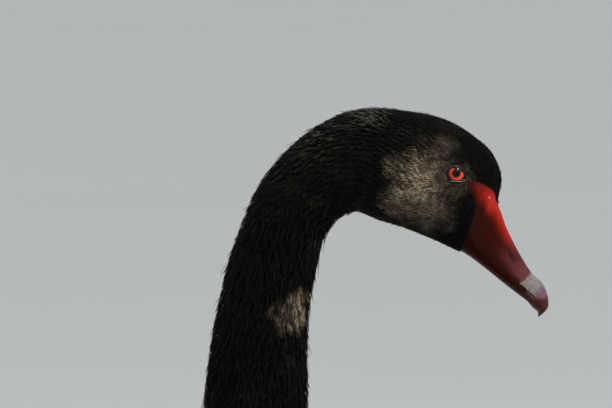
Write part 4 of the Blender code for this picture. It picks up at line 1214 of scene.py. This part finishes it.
def build_thigh(settings):
    """Loose feathers over the top of either shank, that stand out over it."""
    draw = np.random.default_rng(settings.seed + 70)
    count = 2 * THIGH_FEATHERS
    s, angle = (
        middle + reach * draw.uniform(-1.0, 1.0, count) for middle, reach in zip(THIGH, THIGH_SPREAD)
    )
    angle = angle * np.where(np.arange(count) < THIGH_FEATHERS, LEFT, RIGHT)
    off = (s - THIGH[0]) / THIGH_SPREAD[0]
    parts = vanes(
        (s, angle), draw.normal(0.0, 10.0, count), draw.uniform(*THIGH_LENGTHS, count),
        draw.uniform(*THIGH_WIDTHS, count), np.full(count, -0.003), THIGH_STAND * (1 - 0.7 * off**2),
        THIGH_VANE, (THIGH[0] - 0.05, THIGH[0] + 0.05), draw,
    )
    return coat_piece("thigh_feathers", parts, feather_look(settings, "soft_vane"))


def build_wing(settings, word, side, white):
    """Folded wing: tiers of coverts, ruffled towards the rear, and the white primaries."""
    draw = np.random.default_rng(settings.seed + 50 + side)
    look = feather_look(settings, "black_vane")
    small, large = [], []
    for tier in range(WING_TIERS):
        q = tier / (WING_TIERS - 1)
        begin, length, width, curl = (
            a + (b - a) * q**power for a, b, power in zip(*WING_ENDS, WING_POWERS)
        )
        middle = wing_point(begin, 0.5)
        depth = (wing_low(middle[0]) - WING_TOP) * abs(lay_axes(*middle)[2])
        number = int(depth / width * WING_OVERLAP)
        j = np.arange(number)
        share = (j + 0.25 + 0.5 * (tier % 2) + draw.uniform(-0.16, 0.16, number)) / (number - 0.1)
        s, angle = wing_point(begin + draw.uniform(-0.008, 0.010, number), share)
        turn = (8.0 * (0.5 - share) + draw.normal(0.0, 3.0, number)) * side
        reach = length * (INNER_REACH + (OUTER_REACH - INNER_REACH) * share)
        reach = reach * draw.uniform(0.92, 1.08, number)
        fine = q > FINE_TIERS
        shape = {
            **WING_VANE, "grid": (14, 9) if fine else (7, 5), "ragged": 0.008 if fine else 0.014,
            "ruffle": 0.0004 + curl * 0.32, "curl": curl * draw.uniform(0.3, 1.1, number),
        }
        high = draw.uniform(0.0026, 0.0042, number)
        (large if fine else small).append(vanes(
            (s, angle * side), -turn, reach, width * draw.uniform(0.92, 1.12, number),
            np.full(number, -0.0022), high, shape, (WING_FRONT - 0.02, WING_REAR + 0.12), draw,
        ))
    coverts = coat_piece(f"wing_{word}_coverts", joined(small), look, nodes=(f"wing_{word}",))
    scapulars = coat_piece(f"wing_{word}_scapulars", joined(large), look)
    rank = np.arange(PRIMARIES)
    s, angle = wing_point(PRIMARY_ROOT, PRIMARY_LOWEST - PRIMARY_SPACING * rank)
    tip_s, tip_angle = LOFT_END - PRIMARY_SHORT - PRIMARY_SHORTER * rank, angle * PRIMARY_CLOSING
    flight = straight_vanes(
        surface(s, angle * side, PRIMARY_ROOT_HEIGHT),
        surface(tip_s, tip_angle * side, PRIMARY_TIP_HEIGHT + PRIMARY_STACK * rank),
        outward((s + tip_s) / 2, (angle + tip_angle) / 2 * side), PRIMARY_WIDTH, PRIMARY_BOW,
        (s, angle * side), (WING_FRONT, LOFT_END + 0.1), draw,
    )
    return coverts, scapulars, coat_piece(f"wing_{word}_primaries", flight, white, "white_feather")


def build_tail(settings):
    """Tail: fanned feathers from one root, each a thin arched vane, with coverts over and under."""
    draw = np.random.default_rng(settings.seed + 90)
    x, _, z = TAIL_START
    rank = np.arange(TAIL_FEATHERS)
    number = np.where(rank % 2 == 0, 1.0, -1.0) * (rank // 2 + 0.5)
    parts = [fan(
        x, number * TAIL_ROOT_SPACING, z - rank * TAIL_STEP, number * TAIL_FAN,
        np.full(TAIL_FEATHERS, TAIL_REACH + x), TAIL_WIDTH, TAIL_SLOPE, draw,
    )]
    number = np.arange(-TAIL_COVERT_REACH, TAIL_COVERT_REACH + 1.0)
    for lift, slope, reach in TAIL_COVERTS:
        parts.append(fan(
            x + 0.010, number * TAIL_COVERT_SPACING, z + lift - np.abs(number) * TAIL_COVERT_STEP,
            number * TAIL_COVERT_FAN, reach * draw.uniform(0.9, 1.1, len(number)), TAIL_COVERT_WIDTH,
            slope, draw,
        ))
    return coat_piece("tail_feathers", joined(parts), feather_look(settings, "black_vane"), nodes=("tail",))


def fan(x, y, z, heading, length, width, slope, draw):
    """Feathers that spread backwards from their roots, turned by a heading and falling by a slope."""
    turn = np.radians(heading)
    roots = np.stack(np.broadcast_arrays(x, y, z), axis=-1)
    forth = np.stack([-np.cos(turn), np.sin(turn), 0 * turn - slope], axis=-1)
    normals = np.broadcast_to([0.0, 0.0, 1.0], roots.shape)
    places = LOFT_END + TAIL_START[0] - roots[:, 0], np.degrees(np.arctan2(y, z - TAIL_MIDDLE))
    return straight_vanes(
        roots, roots + forth * length[:, None], normals, width, 0.0, places,
        (LOFT_END - 0.02, LOFT_END + 0.01), draw,
    )


def nostril_hollow(s, angle):
    """1 in the middle of either nostril, falling to 0 over its long slit."""
    hollow = 0.0
    for side in (LEFT, RIGHT):
        x, y = from_spot(s, angle, NOSTRIL_LENGTH, NOSTRIL_ANGLE * side)
        hollow = hollow + np.exp(-((x / NOSTRIL_SLIT[0]) ** 2 + (y / NOSTRIL_SLIT[1]) ** 2))
    return np.clip(hollow, 0.0, 1.0)


def bill_rings(upper):
    """Closed rings of one half of the bill: its outer arc, then back along the mouth."""
    share = np.linspace(0.0, 1.0, BILL_GRID[0])[:, None]
    turn = np.linspace(-1.0, 1.0, BILL_GRID[1])[None, :]
    start = 0.0 if upper else LOWER_BILL_START
    s = start + share * 0.06 + 0 * turn
    for _ in range(4):
        line = looked_up(MOUTH_LINE, s)
        angle = turn * line if upper else 180.0 + turn * (180.0 - line)
        s = start + share * (edge_length(signed(angle)) + BILL_UNDER - start)
    nail, hollow = 0 * s, 0 * s
    if upper:
        nail = NAIL_SWELL * smooth(s, NAIL_START, NAIL_FULL) * smooth(s, -0.0030, 0.0035)
        nail = nail * (0.3 + 0.7 * np.cos(np.radians(angle) / 2) ** 2)
        hollow = nostril_hollow(s, angle)
    edge = smooth(share, 0.90, 1.0) * 0.0005
    height = nail - NOSTRIL_DEPTH * hollow - edge + 0.0002 * smooth(np.abs(turn), 0.75, 0.95)
    arc = surface(s, angle, height if upper else height - LOWER_BILL_INSET)
    first, last = arc[:, :1], arc[:, -1:]
    back = np.linspace(0.0, 1.0, MOUTH_STEPS)[None, 1:-1, None]
    middle = arc.mean(axis=1, keepdims=True) - (first + last) / 2
    open_share = smooth(np.linalg.norm(last - first, axis=-1, keepdims=True), 0.0, 0.006)
    lift = MOUTH_GAP * unit(middle) * np.sin(np.pi * back) ** 0.3 * open_share
    chord = last + (first - last) * back + lift * (3.0 if upper else 2.0)
    outer = np.stack([s, np.abs(signed(angle)), hollow], axis=-1)
    inner = np.stack(np.broadcast_arrays(s[:, :1], MOUTH_TURN, np.zeros(chord.shape[:2])), axis=-1)
    return np.concatenate([arc, chord], axis=1), np.concatenate([outer, inner], axis=1)


def build_bill(upper, look):
    """One half of the bill as a closed tube, with a rounded tip and a hidden rear end."""
    rings, own = bill_rings(upper)
    centre = rings[0].mean(axis=0)
    if upper:
        turn_at, tip, behind = np.array(HOOK_TURN), np.array(HOOK_POINT), HOOK_BEHIND
    else:
        ahead = unit(centre - rings[12].mean(axis=0))
        turn_at, tip, behind = centre + ahead * 0.0006, centre + ahead * 0.0012, 0.0
    q = 1 - np.linspace(0.0, 1.0, HOOK_RINGS)[1:-1, None, None] ** 2
    line = (1 - q) ** 2 * centre + 2 * q * (1 - q) * turn_at + q**2 * tip
    closing = np.sqrt((1 - (behind + (1 - behind) * q) ** 2) / (1 - behind**2))
    dome = line + (rings[0] - centre)[None] * closing
    lip = rings[-1] + (rings[-1].mean(axis=0) - rings[-1]) * 0.12 + np.array([-0.002, 0.0, 0.0])
    shape = closed_tube(np.concatenate([dome, rings, lip[None]]), start=tip)
    share = np.concatenate([np.zeros(len(dome)), np.linspace(0.0, 1.0, len(rings)), [1.0]])
    share = np.append(np.repeat(share, rings.shape[1]), [0.0, 1.0])
    own = np.concatenate([np.repeat(own[:1], len(dome), axis=0), own, own[-1:]])
    own = np.concatenate([own.reshape(-1, 3), own[0, :1], own[-1, :1]])
    word, slot = ("upper", "bill_red") if upper else ("lower", "lower_bill_red")
    return mesh_piece(
        f"horn_{word}", shape, look, slot, (f"bill_{word}",), bill_place=own, bill_share=share,
    )


def eye_axes(side):
    """The eye's centre, its axes to the front, up and outwards, and the cheek's lean."""
    normal = outward(np.array(EYE_LENGTH), np.array(EYE_ANGLE * side))
    axis = unit(normal * 0.3 + 0.7 * np.array([0.06, 1.0 * side, 0.04]))
    level = unit(np.array([1.0, 0.0, 0.0]) - axis * axis[0])
    up = np.cross(axis, level) * -side
    up = up if up[2] > 0 else -up
    centre = bare_surface(EYE_LENGTH, EYE_ANGLE * side) - axis * EYE_DEPTH
    lean = np.array([normal @ level, normal @ up]) / (normal @ axis)
    return centre, np.array([level, up, axis]), lean


def build_eye(word, side, look):
    """Eyeball: a sphere whose clear front bulges a little, with its axis outwards."""
    centre, axes, _ = eye_axes(side)
    polar = np.linspace(0.0, np.pi, EYE_GRID[0])[1:-1, None]
    spin = np.linspace(0.0, 2 * np.pi, EYE_GRID[1])[None, :-1]
    away = EYE_RADIUS * np.sin(polar) + 0 * spin
    bulge = EYE_BULGE * np.exp(-((away / 0.0036) ** 4)) * (polar < np.pi / 2)
    out = (EYE_RADIUS + bulge) * np.cos(polar)
    x, y = away * np.cos(spin), away * np.sin(spin)
    rings = centre + np.stack([x, y, out], axis=-1) @ axes
    front, rear = centre + axes[2] * (EYE_RADIUS + EYE_BULGE), centre - axes[2] * EYE_RADIUS
    points, faces = closed_tube(rings, front, rear)
    own = np.stack([x, y, EYE_RADIUS - out], axis=-1).reshape(-1, 3)
    own = np.concatenate([own, [[0.0, 0.0, 0.0], [0.0, 0.0, 2 * EYE_RADIUS]]])
    shape = points, turned_for(side, faces)
    return mesh_piece(f"eyeball_{word}", shape, look, "eye_red", (f"eye_{word}",), eye_place=own)


def turned_for(side, faces):
    """Faces whose order is turned round on the left, where a right side's form is mirrored."""
    return [f[:, ::-1] for f in faces] if side == LEFT else faces


def build_lids(word, side, look):
    """Ring of lids: a rolled edge that hugs the eyeball, folding out into the cheek."""
    centre, axes, lean = eye_axes(side)

    def sag(u, v):
        return -(v**2) / CHEEK_BEND[1] - u**2 / CHEEK_BEND[0] - u * lean[0] - v * lean[1]

    def ball(u, v):
        return np.sqrt(np.maximum(EYE_RADIUS**2 - u**2 - v**2, 0.0)) - EYE_DEPTH

    turn = np.linspace(0.0, 2 * np.pi, LID_GRID[1])[None, :-1]
    section = np.linspace(0.0, 2 * np.pi, LID_GRID[0])[:-1, None]
    front, rear, above, below = LID_OPENING
    corner = np.exp(-(((turn - np.radians(328)) / 0.32) ** 2)) * 0.0009
    inner_x = np.where(np.cos(turn) > 0, front, rear) * np.cos(turn) + corner
    inner_y = np.where(np.sin(turn) > 0, above, below) * np.sin(turn) - corner * 0.45
    ring = (1 - np.cos(section)) / 2
    u = inner_x + (LID_RING[0] * np.cos(turn) - inner_x) * ring
    v = inner_y + (LID_RING[1] * np.sin(turn) - inner_y) * ring
    top = np.sin(section) > 0
    crest = np.exp(-(((ring - 0.16) / 0.16) ** 2))
    fold = 0.00012 * np.sin(ring * 20.0) * smooth(ring, 0.25, 0.5)
    over = 0.75 + 0.55 * smooth(np.cos(turn - np.radians(60)), 0.2, 0.9)
    rise = 0.00085 * crest * over + 0.0002 + fold - 0.0012 * smooth(ring, 0.55, 1.0) + sag(u, v)
    w = np.where(top, np.maximum(rise, ball(u, v) + 0.0002 * (ring < 0.3)), sag(u, v) - LID_DEPTH)
    rings = centre + np.stack(np.broadcast_arrays(u, v, w + EYE_DEPTH), axis=-1) @ axes
    quads = grid_quads(*w.shape, closed_rows=True, closed_columns=True)
    own = np.stack(np.broadcast_arrays(ring, turn, 0 * ring), axis=-1).reshape(-1, 3)
    x = np.linspace(*LOWER_RIM[:2], 40)
    share = np.linspace(-1.0, 1.0, 40)
    y = LOWER_RIM[2] - 0.00045 * (1 - share**2) + 0.00030 * np.maximum(share, 0.0) ** 3
    out = np.maximum(0.00075 + sag(x, y), ball(x, y) + 0.0003) + EYE_DEPTH - 0.0003
    path = centre + np.stack([x, y, out], axis=-1) @ axes
    tube, tube_sides = tube_along(path, ends_rounded(0.00026, 0.00018, 40), 12)
    shape = joined([(rings.reshape(-1, 3), turned_for(side, [quads])), (tube, tube_sides)])
    own = np.concatenate([own, np.tile([1.0, 0.0, 1.0], (len(tube), 1))])
    return mesh_piece(f"lids_{word}", shape, look, "black_plumage", lid_place=own)


def tube_along(path, radii, count):
    """Closed tube along a path: round sections across it, kept above the floor."""
    path = np.asarray(path, float)
    along = unit(np.gradient(path, axis=0))
    side = unit(np.cross(along, [0.0, 0.0, 1.0]))
    lift = np.cross(side, along)
    turn = np.linspace(0.0, 2 * np.pi, count + 1)[:-1]
    ring = np.cos(turn)[None, :, None] * side[:, None] + np.sin(turn)[None, :, None] * lift[:, None]
    points = path[:, None] + ring * radii[:, None, None]
    points[..., 2] = np.maximum(points[..., 2], FLOOR)
    return closed_tube(points, path[0], path[-1])


def straight(start, end, steps):
    """Points evenly along a straight line."""
    t = np.linspace(0.0, 1.0, steps)[:, None]
    return np.asarray(start) + (np.asarray(end) - np.asarray(start)) * t


def ends_rounded(start, end, steps):
    """Radii from one size to another, closing to nothing over both ends."""
    t = np.linspace(0.0, 1.0, steps)
    close = np.sqrt(np.clip(1 - np.clip((np.abs(2 * t - 1) - 0.9) / 0.1, 0, 1) ** 2, 0.0004, 1))
    return (start + (end - start) * t) * close


def limb(start, end, radii, steps, count):
    """Straight tube with rounded ends, from one radius to another."""
    return tube_along(straight(start, end, steps), ends_rounded(*radii, steps), count)


def scutes(steps, pitch, length):
    """Raised bands across a leg or a toe: a share of its radius, step by step along it."""
    return 1 + SCUTE_RELIEF * np.abs(np.sin(np.pi * np.linspace(0.0, length, steps) / pitch)) ** 0.5


def build_leg(word, side, look):
    """Folded leg on the floor: shank, ankle joint and scaly tarsus, one closed shape each."""
    ankle, base, knee = (np.array(p) * [1.0, side, 1.0] for p in (ANKLE, TOE_BASE, KNEE_END))
    radii = ends_rounded(TARSUS_TOP_RADIUS, TARSUS_RADIUS, 140)
    radii = radii * scutes(140, TARSUS_PITCH, np.linalg.norm(base - ankle))
    tarsus = tube_along(straight(ankle, base + [0.004, 0, 0], 140), radii, 28)
    shank = limb(knee, ankle, (SHANK_TOP_RADIUS, SHANK_RADIUS), 40, 24)
    ball = ANKLE_RADIUS * np.sqrt(np.clip(1 - np.linspace(-1, 1, 30) ** 2, 0.0004, 1))
    knot = tube_along(straight(ankle - [ANKLE_RADIUS, 0, 0], ankle + [ANKLE_RADIUS, 0, 0], 30), ball, 24)
    return mesh_piece(f"tarsus_{word}", joined([tarsus, shank, knot]), look, "leg_grey", (f"leg_{word}",))


def toe(knuckle, heading, length):
    """Jointed scaly toe from the knuckle, its claw that hooks down to the floor, and its end."""
    turn = math.radians(heading)
    ahead = np.array([math.cos(turn), math.sin(turn), 0.0])
    end = knuckle + ahead * (length - CLAW_LENGTH)
    end[2] = TOE_TIP_RADIUS
    joints = 1 + 0.10 * np.cos(np.linspace(0, 8 * np.pi, 90)) ** 8
    radii = ends_rounded(TOE_RADIUS, TOE_TIP_RADIUS, 90) * joints * scutes(90, TOE_PITCH, length)
    hook = straight(end - ahead * 0.003, end + ahead * CLAW_LENGTH, 24)
    share = np.linspace(0.0, 1.0, 24)
    hook[:, 2] = end[2] - (end[2] - 0.0010) * share**2
    claw = tube_along(hook, 0.0026 * (1 - share) ** 0.7 + 0.0003, 14)
    return tube_along(straight(knuckle, end, 90), radii, 18), claw, end


def web(knuckle, first, second, side):
    """Ridged web between the ends of two toes, notched in the middle of its front edge."""
    u = np.linspace(0.0, 1.0, WEB_GRID[0])[:, None]
    v = np.linspace(0.0, 1.0, WEB_GRID[1])[None, :]
    reach = (u * (1 - 4 * v * (1 - v) * WEB_NOTCH / 0.1))[..., None]
    top = knuckle + ((first - knuckle) * (1 - v)[..., None] + (second - knuckle) * v[..., None]) * reach
    under = top.copy()
    top[..., 2] = WEB_TOP + 0.0006 * np.sin(v * 6 * np.pi) * u
    under[..., 2] = top[..., 2] - WEB_THICKNESS
    points = np.concatenate([top.reshape(-1, 3), under.reshape(-1, 3)])
    faces = sheet_faces(*WEB_GRID)
    return points, [faces if side == LEFT else faces[:, ::-1]]


def build_foot(word, side, look, claw_look):
    """Folded foot: jointed toes, the ridged web between them, a hind toe and the claws."""
    base = np.array(TOE_BASE) * [1.0, side, 1.0]
    knuckle = base + [KNUCKLE_AHEAD, 0.0, 0.0]
    toes, claws, ends = zip(*(toe(knuckle, heading * side, length) for heading, length in TOES))
    hind_start, hind_end = (knuckle + np.array(p) * [1.0, side, 1.0] for p in HIND_TOE)
    parts = [
        *toes,
        limb(hind_start, hind_end, HIND_TOE_RADII, 24, 14),
        limb(base - [0.002, 0, 0], knuckle + [0.006, 0, 0], KNUCKLE_RADII, 20, 20),
        *(web(knuckle, first, second, side) for first, second in zip(ends[:-1], ends[1:])),
    ]
    foot = mesh_piece(f"toes_{word}", joined(parts), look, "leg_grey", (f"foot_{word}",))
    return foot, mesh_piece(f"claws_{word}", joined(claws), claw_look, "leg_grey")


def build_stage(settings):
    """Pale floor that rises in a round cove to a low wall, soft lamps and the camera."""
    rise = np.linspace(0.0, np.pi / 2, 16)[1:]
    radius = np.concatenate([FLOOR_RADII, FLOOR_RADII[-1] + COVE * np.sin(rise), [FLOOR_RADII[-1] + COVE]])
    height = np.concatenate([[0.0] * len(FLOOR_RADII), COVE * (1 - np.cos(rise)), [WALL]])
    spin = np.linspace(0.0, 2 * np.pi, 97)[None, :-1]
    x, y = radius[:, None] * np.cos(spin), radius[:, None] * np.sin(spin)
    rings = np.stack(np.broadcast_arrays(x, y, height[:, None]), axis=-1)
    points = np.concatenate([rings.reshape(-1, 3), [[0.0, 0.0, 0.0]]])
    faces = grid_quads(*x.shape, closed_columns=True).tolist()
    faces += end_fan(x.size, np.arange(x.shape[1])).tolist()
    mesh = bpy.data.meshes.new("floor")
    mesh.from_pydata(points.tolist(), [], faces)
    mesh.shade_smooth()
    look = Look("floor_paint")
    shade = look.ramp(look.noise(1.5), 0.3, 0.7, 0.0, 0.06)
    colour = look.mix(shade, settings.floor, [v * 0.8 for v in settings.floor])
    mesh.materials.append(look.finish({"Base Color": colour, "Roughness": 0.9}))
    floor = in_scene("floor", mesh)

    scene = bpy.context.scene
    scene.world = bpy.data.worlds.new("studio")
    scene.world.use_nodes = True
    background = scene.world.node_tree.nodes["Background"]
    background.inputs["Color"].default_value = SKY
    background.inputs["Strength"].default_value = settings.sky
    scene.view_settings.view_transform = "Standard"

    aim = np.array(VIEW_CENTRE)
    for name, (off, size, share, colour) in LAMPS.items():
        data = bpy.data.lights.new(name, "AREA")
        data.size, data.energy, data.color = size, settings.key * share, colour
        lamp = in_scene(name, data)
        lamp.visible_camera = False
        aim_object(lamp, aim + np.array(off), aim)

    data = bpy.data.cameras.new("camera")
    data.sensor_width, data.clip_end = SENSOR, 100.0
    data.lens = SENSOR * settings.distance / VIEW_WIDTH
    scene.camera = in_scene("camera", data)
    back = np.array([0.0, -math.cos(settings.elevation), math.sin(settings.elevation)])
    aim_object(scene.camera, aim + back * settings.distance, aim)


def aim_object(item, start, target):
    """Put a lamp or camera at a place, looking at a target."""
    item.location = start
    item.rotation_euler = Vector(target - start).to_track_quat("-Z", "Y").to_euler()


class SWAN_OT_skin(Operator):
    """Make the one skin of head, neck and body"""

    bl_idname = "swan.skin"
    bl_label = "Skin"

    def execute(self, context):
        build_skin(context.scene.swan_plumage)
        return {"FINISHED"}


class SWAN_OT_head_coat(Operator):
    """Cover the head with short velvety tufts"""

    bl_idname = "swan.head_coat"
    bl_label = "Head tufts"

    def execute(self, context):
        settings, crown = context.scene.swan_plumage, place("crown")
        build_head_coat(settings, "coat_face", place("bill_base"), crown, 0.31)
        build_head_coat(settings, "coat_crown", crown, place("nape") + 0.008, 0.53)
        return {"FINISHED"}


class SWAN_OT_neck_coat(Operator):
    """Cover the neck with small feathers and their hair-like fringe"""

    bl_idname = "swan.neck_coat"
    bl_label = "Neck feathers"

    def execute(self, context):
        settings = context.scene.swan_plumage
        build_neck_coat(settings, "coat_crook", ("nape", "mid_neck"), 0.11)
        build_neck_coat(settings, "coat_neck", ("mid_neck", "low_neck"), 0.23)
        build_neck_coat(settings, "coat_neck_base", ("low_neck", "neck_base"), 0.37)
        return {"FINISHED"}


class SWAN_OT_body_coat(Operator):
    """Cover the body with soft rounded feathers"""

    bl_idname = "swan.body_coat"
    bl_label = "Body feathers"

    def execute(self, context):
        settings, middle = context.scene.swan_plumage, place("belly_front")
        build_body_coat(settings, "coat_breast", place("neck_base"), middle, 0.41)
        build_body_coat(settings, "coat_flanks", middle, LOFT_END, 0.59)
        build_thigh(settings)
        return {"FINISHED"}


class SWAN_OT_wings(Operator):
    """Make both folded wings with their coverts and white primaries"""

    bl_idname = "swan.wings"
    bl_label = "Wings"

    def execute(self, context):
        settings = context.scene.swan_plumage
        white = white_look(settings)
        for word, side in SIDES:
            build_wing(settings, word, side, white)
        return {"FINISHED"}


class SWAN_OT_tail(Operator):
    """Make the fanned tail and its coverts"""

    bl_idname = "swan.tail"
    bl_label = "Tail"

    def execute(self, context):
        build_tail(context.scene.swan_plumage)
        return {"FINISHED"}


class SWAN_OT_bill(Operator):
    """Make the upper and the lower bill"""

    bl_idname = "swan.bill"
    bl_label = "Bill"

    def execute(self, context):
        settings = context.scene.swan_bill
        build_bill(True, bill_look(settings, "bill_horn", 0.0, 0.06))
        # The lower bill takes the sides' painted shade over most of it.
        build_bill(False, bill_look(settings, "lower_bill_horn", 0.8, 0.02))
        return {"FINISHED"}


class SWAN_OT_eyes(Operator):
    """Make the eyes and the lids round them"""

    bl_idname = "swan.eyes"
    bl_label = "Eyes and lids"

    def execute(self, context):
        settings = context.scene.swan_eyes
        wet, bare = eye_look(settings), lid_look(settings)
        for word, side in SIDES:
            build_eye(word, side, wet)
            build_lids(word, side, bare)
        return {"FINISHED"}


class SWAN_OT_legs(Operator):
    """Make the folded legs and webbed feet"""

    bl_idname = "swan.legs"
    bl_label = "Legs and feet"

    def execute(self, context):
        settings = context.scene.swan_legs
        scales = leg_look("leg_scales", settings.grey, True)
        horn = leg_look("claw_horn", settings.claw, False)
        for word, side in SIDES:
            build_leg(word, side, scales)
            build_foot(word, side, scales, horn)
        return {"FINISHED"}


class SWAN_OT_stage(Operator):
    """Set the floor, the lamps and the camera"""

    bl_idname = "swan.stage"
    bl_label = "Stage"

    def execute(self, context):
        build_stage(context.scene.swan_stage)
        return {"FINISHED"}


STEPS = (
    SWAN_OT_skin, SWAN_OT_head_coat, SWAN_OT_neck_coat, SWAN_OT_body_coat, SWAN_OT_wings,
    SWAN_OT_tail, SWAN_OT_bill, SWAN_OT_eyes, SWAN_OT_legs, SWAN_OT_stage,
)
GROUPS = {
    "swan_plumage": PlumageSettings,
    "swan_bill": BillSettings,
    "swan_eyes": EyeSettings,
    "swan_legs": LegSettings,
    "swan_stage": StageSettings,
}


class SWAN_PT_panel(Panel):
    """Lists the steps that dress the swan, and their settings"""

    bl_idname = "SWAN_PT_panel"
    bl_label = "Black Swan"
    bl_space_type = "VIEW_3D"
    bl_region_type = "UI"
    bl_category = "Swan"

    def draw(self, context):
        for step in STEPS:
            self.layout.operator(step.bl_idname)
        for name, group in GROUPS.items():
            box = self.layout.box()
            for word in group.__annotations__:
                box.prop(getattr(context.scene, name), word)


def register():
    for item in (*GROUPS.values(), *STEPS, SWAN_PT_panel):
        bpy.utils.register_class(item)
    for name, group in GROUPS.items():
        setattr(bpy.types.Scene, name, bpy.props.PointerProperty(type=group))


def unregister():
    for name in GROUPS:
        delattr(bpy.types.Scene, name)
    for item in reversed((*GROUPS.values(), *STEPS, SWAN_PT_panel)):
        bpy.utils.unregister_class(item)


def main():
    """Run every step in order."""
    register()
    for step in STEPS:
        area, name = step.bl_idname.split(".")
        getattr(getattr(bpy.ops, area), name)()


if __name__ == "__main__":
    main()
